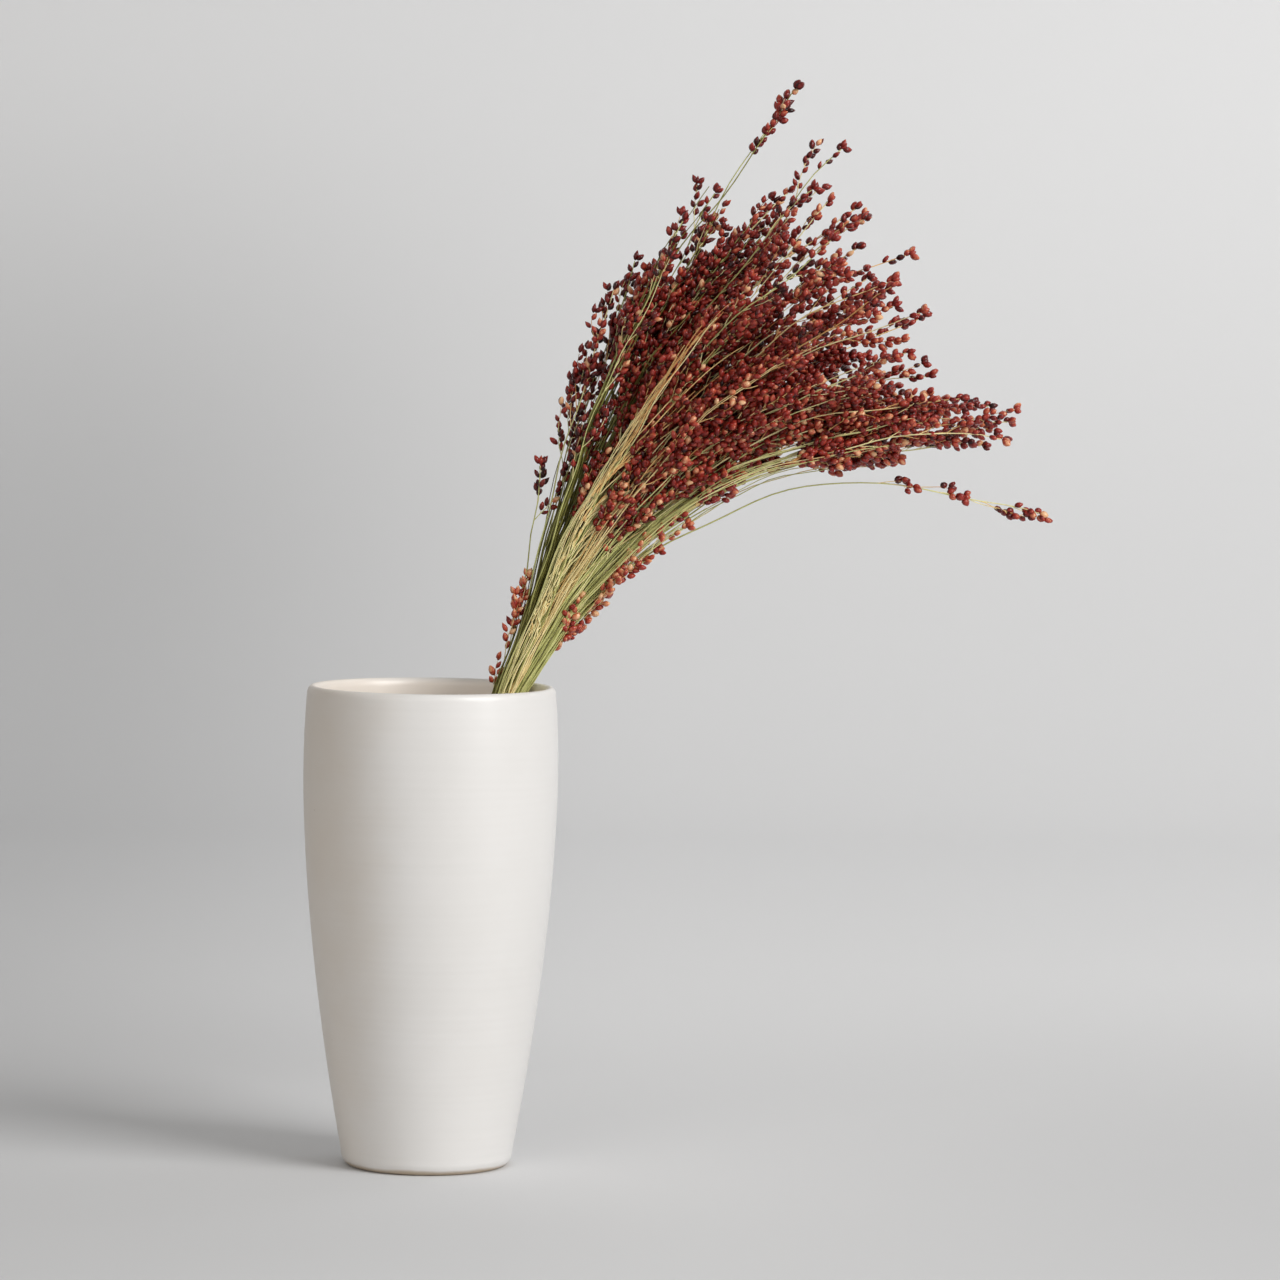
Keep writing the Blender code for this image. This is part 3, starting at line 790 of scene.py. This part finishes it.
def vase_inside():
    """Radius and height over the lip and down the vase's inside to the middle of its floor."""
    middle = VASE_LIP_RADIUS - VASE_WALL / 2
    profile = []
    for k in range(LIP_STEPS + 1):
        angle = math.radians(180 * k / LIP_STEPS)
        rise = (VASE_HEIGHT - VASE_LIP_HEIGHT) * math.sin(angle)
        profile.append((middle + VASE_WALL / 2 * math.cos(angle), VASE_LIP_HEIGHT + rise))
    low = VASE_FLOOR + VASE_CORNER
    for k in range(1, INSIDE_STEPS + 1):
        height = VASE_LIP_HEIGHT + (low - VASE_LIP_HEIGHT) * k / INSIDE_STEPS
        share = (height - VASE_FLOOR) / (VASE_LIP_HEIGHT - VASE_FLOOR)
        wall = VASE_WALL_LOW + (VASE_WALL - VASE_WALL_LOW) * share
        fade = min(1.0, k / FADE_INSIDE, (INSIDE_STEPS - k) / FADE_INSIDE)
        profile.append((vase_radius(height) - wall + finger_mark(height, RING_INSIDE) * fade, height))
    corner_middle = profile[-1][0] - VASE_CORNER
    for k in range(1, CORNER_STEPS + 1):
        angle = math.radians(90 * k / CORNER_STEPS)
        profile.append((corner_middle + VASE_CORNER * math.cos(angle), low - VASE_CORNER * math.sin(angle)))
    profile.append((corner_middle * 0.5, VASE_FLOOR))
    return profile


def build_vase(material):
    """The vase, drawn up ring by ring from its foot, over the lip and down again inside."""
    outside = vase_outside()
    profile = outside + vase_inside()
    ring = {"vertices": VASE_SIDES, "radius": profile[0][0], "fill_type": "NOTHING"}
    bpy.ops.mesh.primitive_circle_add(location=(0, 0, 0), **ring)
    vase = bpy.context.object
    bpy.ops.object.mode_set(mode="EDIT")
    bpy.ops.mesh.select_all(action="SELECT")
    for (before, low), (after, high) in zip(profile, profile[1:]):
        bpy.ops.mesh.extrude_region_move(TRANSFORM_OT_translate={"value": (0, 0, high - low)})
        bpy.ops.transform.resize(value=(after / before, after / before, 1), center_override=(0, 0, high))
    bpy.ops.mesh.select_all(action="SELECT")
    bpy.ops.mesh.fill_holes(sides=0)
    bpy.ops.mesh.normals_make_consistent(inside=False)
    bpy.ops.object.mode_set(mode="OBJECT")
    bpy.ops.object.shade_smooth_by_angle(angle=math.radians(50))
    top = len(outside) + LIP_STEPS // 2
    count = len(vase.data.vertices)
    # Where the inside's painted light applies: 0 up to the lip's top, rising to 1 a few rings down the inside.
    inner = [min(1.0, max(0.0, (k // VASE_SIDES - top) / INSIDE_LIGHT_FADE)) for k in range(count)]
    vase.data.attributes.new("inner", "FLOAT", "POINT").data.foreach_set("value", inner)
    finish_piece(vase, "thrown_vase", material, "vase")


def sweep(wires):
    """One mesh of all the wires, each a list of place, radius and tone along it, swept with six sides."""
    curve = bpy.data.curves.new("wires", "CURVE")
    curve.dimensions = "3D"
    curve.bevel_depth = 1.0
    curve.bevel_resolution = 1
    tones = []
    for wire in wires:
        spline = curve.splines.new("POLY")
        spline.points.add(len(wire) - 1)
        for point, (place, radius, tone) in zip(spline.points, wire):
            point.co = (*place, 1.0)
            point.radius = radius
            tones.extend([tone] * 6)
    swept = bpy.data.objects.new("wires", curve)
    bpy.context.scene.collection.objects.link(swept)
    take(swept)
    bpy.ops.object.convert(target="MESH")
    swept = bpy.context.object
    swept.data.attributes.new("tone", "FLOAT", "POINT").data.foreach_set("value", tones)
    bpy.ops.object.mode_set(mode="EDIT")
    bpy.ops.mesh.select_all(action="SELECT")
    bpy.ops.mesh.fill_holes(sides=0)
    bpy.ops.mesh.normals_make_consistent(inside=False)
    bpy.ops.object.mode_set(mode="OBJECT")
    bpy.ops.object.shade_smooth_by_angle(angle=math.radians(60))
    return swept


def build_stalk(material):
    """The fluted stem, from its cut end on the vase's floor to the fine tip of the head's axis."""
    low = -RIM_PLACE.z
    line = fan_line(AXIS_P, 0.0, low, AXIS_END)
    slope = math.sin(math.radians(FOOT_LEAN + RIM_SIDE))
    floor = VASE_FLOOR + TOUCH_GAP + stem_radius(low) * slope
    standing = [k for k in sorted(line) if line[k].z > floor]
    joints = [whorl[0] for whorl in WHORLS] + [SINGLES_ROOT]
    sides = 2 * STEM_FLUTES
    bpy.ops.mesh.primitive_circle_add(vertices=sides, radius=1, fill_type="NGON", location=(0, 0, 0))
    stalk = bpy.context.object
    bpy.ops.object.mode_set(mode="EDIT")
    bpy.ops.mesh.select_all(action="SELECT")
    for _ in standing[1:]:
        bpy.ops.mesh.extrude_region_move(TRANSFORM_OT_translate={"value": (0, 0, 1)})
    bpy.ops.mesh.select_all(action="SELECT")
    bpy.ops.mesh.normals_make_consistent(inside=False)
    bpy.ops.object.mode_set(mode="OBJECT")
    tones = []
    for vertex in stalk.data.vertices:
        number = round(vertex.co.z)
        k = standing[number]
        t = k * STEP
        swell = 1 + SWELLING * sum(math.exp(-((t - joint) / SWELLING_LENGTH) ** 2) for joint in joints)
        upward = heading(t, AXIS_P, 0.0)
        across = Vector((upward.z, 0.0, -upward.x)).normalized()
        angle = math.atan2(vertex.co.y, vertex.co.x)
        flute = 1 - STEM_FLUTE_DEPTH * (round(angle / math.tau * sides) % 2)
        out = across * math.cos(angle) + upward.cross(across) * math.sin(angle)
        vertex.co = line[k] + out * stem_radius(t) * flute * min(swell, MOST_SWOLLEN)
        tones.append(read_off(STEM_TONES, t))
    stalk.data.attributes.new("tone", "FLOAT", "POINT").data.foreach_set("value", tones)
    bpy.ops.object.shade_smooth_by_angle(angle=math.radians(70))
    finish_piece(stalk, "fluted_stalk", material, "stalk")


def model_spikelet(rings, gape, notch):
    """A spikelet as two closed husks, from its foot at the origin to its tip at z = 1, half a unit in radius.

    Each ring is a height and a radius. The husks meet in a furrow down both sides, where the grain shows
    between their lips, and a notch parts their tips.
    """
    bpy.ops.mesh.primitive_uv_sphere_add(segments=SPIKELET_SIDES, ring_count=len(rings) + 1, radius=0.5)
    spikelet = bpy.context.object
    levels = sorted({round(vertex.co.z, 4) for vertex in spikelet.data.vertices})
    heights = [0.0] + [height for height, _ in rings] + [1.0 - notch]
    lips = []
    for vertex in spikelet.data.vertices:
        level = levels.index(round(vertex.co.z, 4))
        height = heights[level]
        flat = Vector((vertex.co.x, vertex.co.y))
        in_furrow = flat.length > 0.01 and abs(flat.x) < 0.2 * flat.length
        if 0 < level < len(levels) - 1:
            flat = flat.normalized() * rings[level - 1][1]
        if in_furrow:
            flat *= 1 - gape
            height -= notch * 0.5 * level / len(levels)
        elif flat.x > 0:
            flat.x *= LARGER_HUSK
        vertex.co = (flat.x, flat.y, height)
        lips.append(1.0 if in_furrow or level == len(levels) - 1 else 0.0)
    data = spikelet.data
    rises = [vertex.co.z for vertex in data.vertices]
    data.attributes.new("lip", "FLOAT", "POINT").data.foreach_set("value", lips)
    data.attributes.new("rise", "FLOAT", "POINT").data.foreach_set("value", rises)
    data.attributes.new("tone", "FLOAT", "POINT")
    take(spikelet)
    bpy.ops.object.shade_smooth()
    bpy.data.objects.remove(spikelet)
    return data


def copy_spikelets(shapes, stand, name):
    """One piece of copies of the spikelets, each given as shape, matrix and tone."""
    copies = []
    for shape, matrix, tone in stand:
        mesh = shapes[shape].copy()
        mesh.transform(matrix)
        mesh.attributes["tone"].data.foreach_set("value", [tone] * len(mesh.vertices))
        made = bpy.data.objects.new(name, mesh)
        bpy.context.scene.collection.objects.link(made)
        copies.append(made)
    meshes = [made.data for made in copies[1:]]
    with bpy.context.temp_override(active_object=copies[0], selected_editable_objects=copies):
        bpy.ops.object.join()
    for mesh in meshes:
        bpy.data.meshes.remove(mesh)
    return copies[0]


class Tuft:
    """The fine branches, racemes and spikelets that stand for one spray of the frame."""

    def __init__(self, spray):
        self.spray = spray
        self.random = random.Random(f"{SEED} tuft {spray.name}")
        self.wires = []
        self.spikelets = []
        low = min(1.0, max(0.0, 0.5 + 0.5 * spray.p))
        sizes = zip(SPIKELET_HIGH, SPIKELET_LOW)
        self.length, self.thickness = (above + (below - above) * low for above, below in sizes)
        # Husk tone by p, darker towards the head's left partly as painted shade.
        self.husk_tone = read_off(HUSK_TONES_AND_SHADE, spray.p)
        # Straw tone by p, darkest on the head's left partly as painted shade.
        self.straw_tone = read_off(STRAW_TONES_AND_SHADE, spray.p) + self.random.uniform(-TUFT_TONE, TUFT_TONE)
        self.bare, self.joints, self.opening = RACEME_BARE, RACEME_JOINTS, RACEME_OPEN
        if spray.name in ("lone_spray", "top_spray"):
            self.bare = LONE_BARE if spray.name == "lone_spray" else TOP_BARE
            self.opening = TOP_OPEN
            self.joints = SPARSE_JOINTS
            self.thickness = SPARSE_THICKNESS
        if spray.name in ("low_spray_1", "low_spray_2", "low_spray_3"):
            self.husk_tone = LOW_HUSK_TONE
            self.opening = LOW_OPEN
        self.ends = read_off(TOP_ENDS, spray.p) if spray.root > SINGLES_ROOT else 1.0
        self.lay_branch(0.0, 1.0, spray.grains_from, spray.racemes)
        for _ in range(spray.branches - 1):
            early = spray.grains_from * self.random.uniform(*EARLY)
            self.lay_branch(1.0, self.ends * self.random.uniform(*FINE_REACH), early, spray.racemes)
        for _ in range(spray.shorts):
            in_front = SHORT_P[0] < spray.p < SHORT_P[1]
            start = self.random.uniform(*SHORT_FROM) if in_front else spray.grains_from
            self.lay_branch(1.0, self.random.uniform(*SHORT_REACH), start, SHORT_RACEMES)
        for _ in range(spray.strands):
            self.lay_branch(1.0, self.random.uniform(*STRAND_REACH), spray.reach, 0)

    def lay_branch(self, apart, share_of_reach, grains_from, racemes):
        """Adds one branch with its racemes, along the spray or, with apart at 1, beside it."""
        spray, draw = self.spray, self.random
        root = spray.root
        reach = spray.reach * share_of_reach
        turn = draw.uniform(0, math.tau)
        phases = draw.uniform(0, math.tau), draw.uniform(0, math.tau)
        length = draw.uniform(*RIPPLE_LENGTHS)
        parting = BAND_APART if spray.p < BAND_P and racemes else APART

        def place(t):
            rise = max(0.0, t - root)
            free = parting * (max(0.0, t) / REACH) ** APART_POWER
            width = apart * (BESIDE * min(1.0, rise / BESIDE_EASE) + free)
            ripple = RIPPLE * min(1.0, rise / RIPPLE_EASE)
            side = width * math.cos(turn) + ripple * math.sin(math.tau * t / length + phases[0])
            deep_wave = math.sin(math.tau * t / (length * RIPPLE_RATIO) + phases[1])
            return spray.beside(t, side, width * math.sin(turn) + ripple * deep_wave)

        root_radius, tip_radius = FINE_THICK if apart else MAIN_THICK
        tone = self.straw_tone + draw.uniform(-BRANCH_TONE, BRANCH_TONE)
        tip_tone = tone + (draw.uniform(*BRANCH_TIP_TONES) if racemes else 0.0)
        steps = math.ceil((reach - root) / FINE_STEP)
        wire = []
        for k in range(steps + 1):
            share = k / steps
            radius = root_radius + (tip_radius - root_radius) * share ** THINNING
            wire.append((place(root + (reach - root) * share), radius, tone + (tip_tone - tone) * share ** 2))
        self.wires.append(wire)
        if not racemes:
            return
        tip = place(reach)
        along = (tip - place(reach - STEP)).normalized()
        self.lay_cluster(tip, along, self.husk_tone + draw.uniform(-TIP_HUSK_TONE, TIP_HUSK_TONE))
        for k in range(TIP_SPIKELETS):
            foot = place(reach - JOINT_PITCH * (k + draw.uniform(*TIP_PLACES)))
            self.lay_spikelet(foot, along, k * GOLDEN_TURN, draw.uniform(*PEDICEL), TIP_TILT, self.husk_tone)
        last = (reach - TIP_BARE) * self.ends
        room = max(0.0, last - grains_from)
        for k in range(racemes):
            t = min(last, grains_from) + room * (k + draw.uniform(*RACEME_PLACES)) / racemes
            self.lay_raceme(place, t, reach, tip_tone)

    def lay_raceme(self, branch_place, t, reach, tone):
        """Adds a raceme at t of a branch: it leaves the branch, bends back along it, and bears spikelets."""
        draw = self.random
        turn = self.spray.facing + self.spray.loose * draw.uniform(-1, 1)
        along = (branch_place(t + STEP) - branch_place(t - STEP)).normalized()
        across, back = self.spray.frame_at(t)
        side = across * math.cos(turn) + back * math.sin(turn)
        bare = draw.uniform(*self.bare)
        joints = min(draw.randint(*self.joints), max(2, int((reach + PAST_TIP - t - bare) / JOINT_PITCH)))
        length = bare + joints * JOINT_PITCH
        opening = self.opening * draw.uniform(*OPEN_SHARES)
        closing = RACEME_CLOSE * draw.uniform(*CLOSE_SHARES)
        steps = max(3, round(length / RACEME_STEP))
        place = branch_place(t)
        line = [place]
        for k in range(steps):
            share = (k + 0.5) / steps
            angle = math.radians(opening + (closing - opening) * share)
            step = along * math.cos(angle) + side * math.sin(angle)
            step += across * draw.uniform(-RACEME_KINK, RACEME_KINK)
            step += back * draw.uniform(-RACEME_KINK, RACEME_KINK)
            step.z -= RACEME_SAG * share
            place = place + step.normalized() * (length / steps)
            line.append(place)
        tone = tone + draw.uniform(*RACEME_TONES)
        foot_radius, tip_radius = RACEME_THICK
        wire = []
        for k, place in enumerate(line):
            share = k / steps
            radius = foot_radius + (tip_radius - foot_radius) * share
            wire.append((place, radius, tone + RACEME_TIP_TONE * share))
        self.wires.append(wire)
        husk_tone = self.husk_tone + draw.uniform(*RACEME_HUSK_TONES)
        for k in range(joints):
            at = (bare + k * JOINT_PITCH) / length * steps
            low = min(int(at), steps - 1)
            foot = line[low].lerp(line[low + 1], at - low)
            forward = (line[low + 1] - line[low]).normalized()
            angle = k * GOLDEN_TURN + draw.uniform(-JOINT_TURN, JOINT_TURN)
            self.lay_spikelet(foot, forward, angle, draw.uniform(*PEDICEL), draw.uniform(*TILT), husk_tone)
            if draw.random() < PAIRED:
                angle += math.pi + draw.uniform(-PAIR_TURN, PAIR_TURN)
                tilt = draw.uniform(*PAIR_TILT)
                self.lay_spikelet(foot, forward, angle, PAIR_PEDICEL, tilt, husk_tone, tone)
        self.lay_cluster(line[-1], (line[-1] - line[-2]).normalized(), husk_tone)

    def lay_cluster(self, tip, along, husk_tone):
        """Adds the two or three spikelets at a tip."""
        draw = self.random
        self.lay_spikelet(tip, along, 0.0, END_PEDICEL, draw.uniform(*END_TILT), husk_tone)
        turn = draw.uniform(0, math.tau)
        for k in range(draw.randint(1, 2)):
            tilt = draw.uniform(*CLUSTER_TILT)
            self.lay_spikelet(tip, along, turn + k * math.pi, CLUSTER_PEDICEL, tilt, husk_tone)

    def lay_spikelet(self, foot, along, turn, pedicel, tilt, husk_tone, straw_tone=None):
        """Adds one spikelet, tilted in degrees from the raceme, and its pedicel if that has a tone."""
        draw = self.random
        first = along.orthogonal().normalized()
        side = first * math.cos(turn) + along.cross(first) * math.sin(turn)
        lean_out = math.radians(tilt)
        direction = along * math.cos(lean_out) + side * math.sin(lean_out)
        base = foot + direction * pedicel
        if straw_tone is not None:
            ends = (foot, base + direction * PEDICEL_SUNK)
            tones = (straw_tone, straw_tone + PEDICEL_TIP_TONE)
            self.wires.append(list(zip(ends, PEDICEL_THICK, tones)))
        size = draw.uniform(*SPIKELET_SIZES)
        width = self.thickness * size * draw.uniform(*SPIKELET_WIDTHS)
        shape = draw.choice(SMALL_SHAPES if self.length < SMALL_SPIKELET else LARGE_SHAPES)
        place = Matrix.Translation(base) @ direction.to_track_quat("Z", "Y").to_matrix().to_4x4()
        spin = Matrix.Rotation(draw.uniform(0, math.tau), 4, "Z")
        scale = Matrix.Diagonal((width, width * SPIKELET_FLATNESS, self.length * size, 1.0))
        tone = husk_tone + draw.gauss(0, HUSK_TONE_SPREAD)
        if draw.random() < PALE_SHARE:
            tone = draw.uniform(*PALE_TONES)
        self.spikelets.append((shape, place @ spin @ scale, min(1.0, max(0.0, tone))))


def build_strip(material):
    """The flat strip of fibres that the axis parts into down the head's front, and its wavy fibres."""
    draw = random.Random(f"{SEED} strip")
    axis = fan_line(AXIS_P, 0.0, -RIM_PLACE.z, REACH)
    strip = Spray("strip", STRIP_P, STRIP_Q, STRIP_ROOT, STRIP_ROOT_TURN, 0, STRIP_REACH, axis)
    wires = []
    for number in range(STRIP_FIBRES):
        across = (number + 0.5) / STRIP_FIBRES - 0.5
        deep = STRIP_DEPTH * draw.uniform(-1, 1)
        phase = draw.uniform(0, math.tau)
        length = draw.uniform(*STRIP_WEAVE_LENGTHS)
        thick = draw.uniform(*STRIP_THICK)
        # A tone shift for this fibre: partly its own, partly painted shade between fibres.
        tone_and_shade = draw.uniform(*STRIP_TONE_AND_SHADE_SHIFTS)
        reach = STRIP_REACH * draw.uniform(STRIP_SHORTEST, 1.0)
        steps = math.ceil((reach - STRIP_ROOT) / STRIP_STEP)
        wire = []
        for k in range(steps + 1):
            share = k / steps
            t = STRIP_ROOT + (reach - STRIP_ROOT) * share
            weave = STRIP_WEAVE * math.sin(math.tau * t / length + phase)
            side = across * read_off(STRIP_WIDTHS, t) + weave
            place = strip.beside(t, side, deep + STRIP_WEAVE_DEEP * weave)
            wire.append((place, thick * (1 - STRIP_THINNING * share), read_off(STRIP_TONES, t) + tone_and_shade))
        wires.append(wire)
    for joint, count, wave in WAVY_JOINTS:
        for _ in range(count):
            wires.append(wavy_fibre(strip, joint, wave, draw))
    finish_piece(sweep(wires), "axis_fibres", material)


def wavy_fibre(strip, joint, wave, draw):
    """A fine branch pressed into waves where it springs from a whorl, straight further out."""
    start = joint + draw.uniform(-WAVY_ROOT_SPREAD, WAVY_ROOT_SPREAD)
    reach = draw.uniform(*WAVY_REACH)
    swing = math.tan(math.radians(draw.uniform(*WAVY_SWING)))
    ease = draw.uniform(*WAVY_EASE)
    length = draw.uniform(*WAVY_LENGTHS)
    phase = draw.uniform(0, math.tau)
    depth = wave * WAVY_DEPTH * draw.uniform(*WAVY_DEPTHS)
    tone = read_off(STRIP_TONES, start) + draw.uniform(*WAVY_TONES)
    aside = draw.uniform(*WAVY_ASIDE) * read_off(STRIP_WIDTHS, joint)
    steps = round(reach / WAVY_STEP)
    wire = []
    for k in range(steps + 1):
        far = reach * k / steps
        damp = math.exp(-((far / WAVY_FADE) ** 2))
        side = aside + swing * (far - ease * (1 - math.exp(-far / ease)))
        side += depth * damp * math.sin(math.tau * far / length + phase)
        deep = WAVY_START_DEEP + WAVY_SINK * far + WAVY_DIVE * far * far
        deep += WAVY_ROUND * depth * damp * math.cos(math.tau * far / length + phase)
        radius = WAVY_RADIUS * (1 - WAVY_THINNING * k / steps)
        wire.append((strip.beside(start + far, side, deep), radius, tone))
    return wire


def build_head():
    """The stem, the strip of fibres and all the tufts."""
    straw = straw_finish()
    husk = husk_finish()
    build_stalk(straw)
    build_strip(straw)
    shapes = {
        "plump": model_spikelet(((0.10, 0.29), (0.34, 0.49), (0.64, 0.46), (0.89, 0.22)), 0.12, 0.0),
        "pointed": model_spikelet(((0.10, 0.24), (0.33, 0.48), (0.60, 0.42), (0.85, 0.17)), 0.14, 0.0),
        "gaping": model_spikelet(((0.10, 0.30), (0.34, 0.50), (0.66, 0.48), (0.97, 0.27)), 0.24, 0.14),
    }
    for spray in plan_sprays():
        tuft = Tuft(spray)
        finish_piece(sweep(tuft.wires), spray.name + "_branches", straw, spray.name)
        grains = copy_spikelets(shapes, tuft.spikelets, "grains")
        finish_piece(grains, spray.name + "_grains", husk, spray.name)


# The setting.


def paper_finish():
    """Pale grey paper with painted light and shade: painted light up the wall, painted shade low on the left,
    at the front, more at the front's right, and under the lights.
    """
    finish = Finish("paper_sweep")
    cloud = finish.noise(1.2, 2)
    # Masks of painted light and shade: the wall lighter high up; the floor darker at the front, low on the left
    # as a painted shadow, at the front's right, and far in front under the lamps.
    high = finish.between(finish.along("Z"), 0.15, 0.75)
    front = 1 - finish.between(finish.along("Y"), -0.40, 0.90)
    left = (1 - finish.between(finish.along("X"), -0.45, 0.15)) * (1 - high)
    right = finish.between(finish.along("X"), 0.10, 0.50) * front
    painted_shade_under_lamps = 1 - finish.between(finish.along("Y"), -2.0, -0.6)
    paper = finish.mix(cloud, (0.81, 0.815, 0.825, 1), (0.83, 0.835, 0.845, 1))
    # Painted light up the wall, then painted shade at the front, a painted shadow low on the left, painted
    # shade at the front's right and under the lamps.
    paper = finish.mix(high, paper, (0.90, 0.905, 0.915, 1))
    paper = finish.mix(front, paper, (0.66, 0.665, 0.675, 1))
    paper = finish.mix(left * 0.9, paper, (0.60, 0.605, 0.615, 1))
    paper = finish.mix(right * 0.9, paper, (0.57, 0.575, 0.585, 1))
    paper = finish.mix(painted_shade_under_lamps, paper, (0.38, 0.385, 0.395, 1))
    return finish.give(Base_Color=paper, Roughness=0.9)


def build_backdrop():
    """A pale floor that sweeps up into a wall, far enough back for a camera to stand behind the vase."""
    bpy.ops.mesh.primitive_plane_add(size=1, location=(0, 0, 0))
    floor = bpy.context.object
    floor.name = "sweep"
    bpy.ops.object.mode_set(mode="EDIT")
    bpy.ops.mesh.select_all(action="SELECT")
    bpy.ops.transform.resize(value=(FLOOR_WIDTH, FLOOR_BACK - FLOOR_FRONT, 1))
    bpy.ops.transform.translate(value=(0, (FLOOR_BACK + FLOOR_FRONT) / 2, 0))
    bpy.ops.object.mode_set(mode="OBJECT")
    for edge in floor.data.edges:
        edge.select = all(floor.data.vertices[k].co.y > 0 for k in edge.vertices)
    for vertex in floor.data.vertices:
        vertex.select = vertex.co.y > 0
    for face in floor.data.polygons:
        face.select = False
    bpy.ops.object.mode_set(mode="EDIT")
    for k in range(SWEEP_STEPS):
        angle = math.radians(90 * (k + 0.5) / SWEEP_STEPS)
        length = 2 * SWEEP_RADIUS * math.sin(math.radians(45 / SWEEP_STEPS))
        step = (0, length * math.cos(angle), length * math.sin(angle))
        bpy.ops.mesh.extrude_region_move(TRANSFORM_OT_translate={"value": step})
    bpy.ops.mesh.extrude_region_move(TRANSFORM_OT_translate={"value": (0, 0, WALL_HEIGHT)})
    bpy.ops.mesh.select_all(action="SELECT")
    bpy.ops.mesh.normals_make_consistent(inside=False)
    bpy.ops.object.mode_set(mode="OBJECT")
    bpy.ops.object.shade_smooth()
    floor.data.materials.append(paper_finish())


def add_light(name, place, target, size, power, color):
    """A square area light that faces its target."""
    light = bpy.data.lights.new(name, "AREA")
    light.size = size
    light.energy = power
    light.color = color
    lamp = bpy.data.objects.new(name, light)
    lamp.location = place
    lamp.rotation_euler = (Vector(target) - Vector(place)).to_track_quat("-Z", "Y").to_euler()
    bpy.context.scene.collection.objects.link(lamp)


def light_scene():
    """A large soft light from the right, weak ones below it, in front and on the wall, and a pale room."""
    for name, light in LIGHTS.items():
        add_light(name, *light)
    world = bpy.data.worlds.new("room")
    world.use_nodes = True
    world.node_tree.nodes["Background"].inputs["Color"].default_value = ROOM_COLOR
    world.node_tree.nodes["Background"].inputs["Strength"].default_value = ROOM_STRENGTH
    bpy.context.scene.world = world


def place_camera():
    """The photograph's view."""
    data = bpy.data.cameras.new("camera")
    data.lens = CAMERA_LENS
    camera = bpy.data.objects.new("camera", data)
    back = Vector((0.0, -math.cos(CAMERA_PITCH), math.sin(CAMERA_PITCH)))
    tilt = Matrix.Rotation(math.radians(90) - CAMERA_PITCH, 4, "X") @ Matrix.Rotation(CAMERA_ROLL, 4, "Z")
    camera.matrix_world = Matrix.Translation(CAMERA_TARGET + back * CAMERA_DISTANCE) @ tilt
    bpy.context.scene.collection.objects.link(camera)
    bpy.context.scene.camera = camera


place_camera()
light_scene()
build_backdrop()
build_vase(glaze_finish())
build_head()
bpy.context.scene.view_settings.view_transform = "Standard"
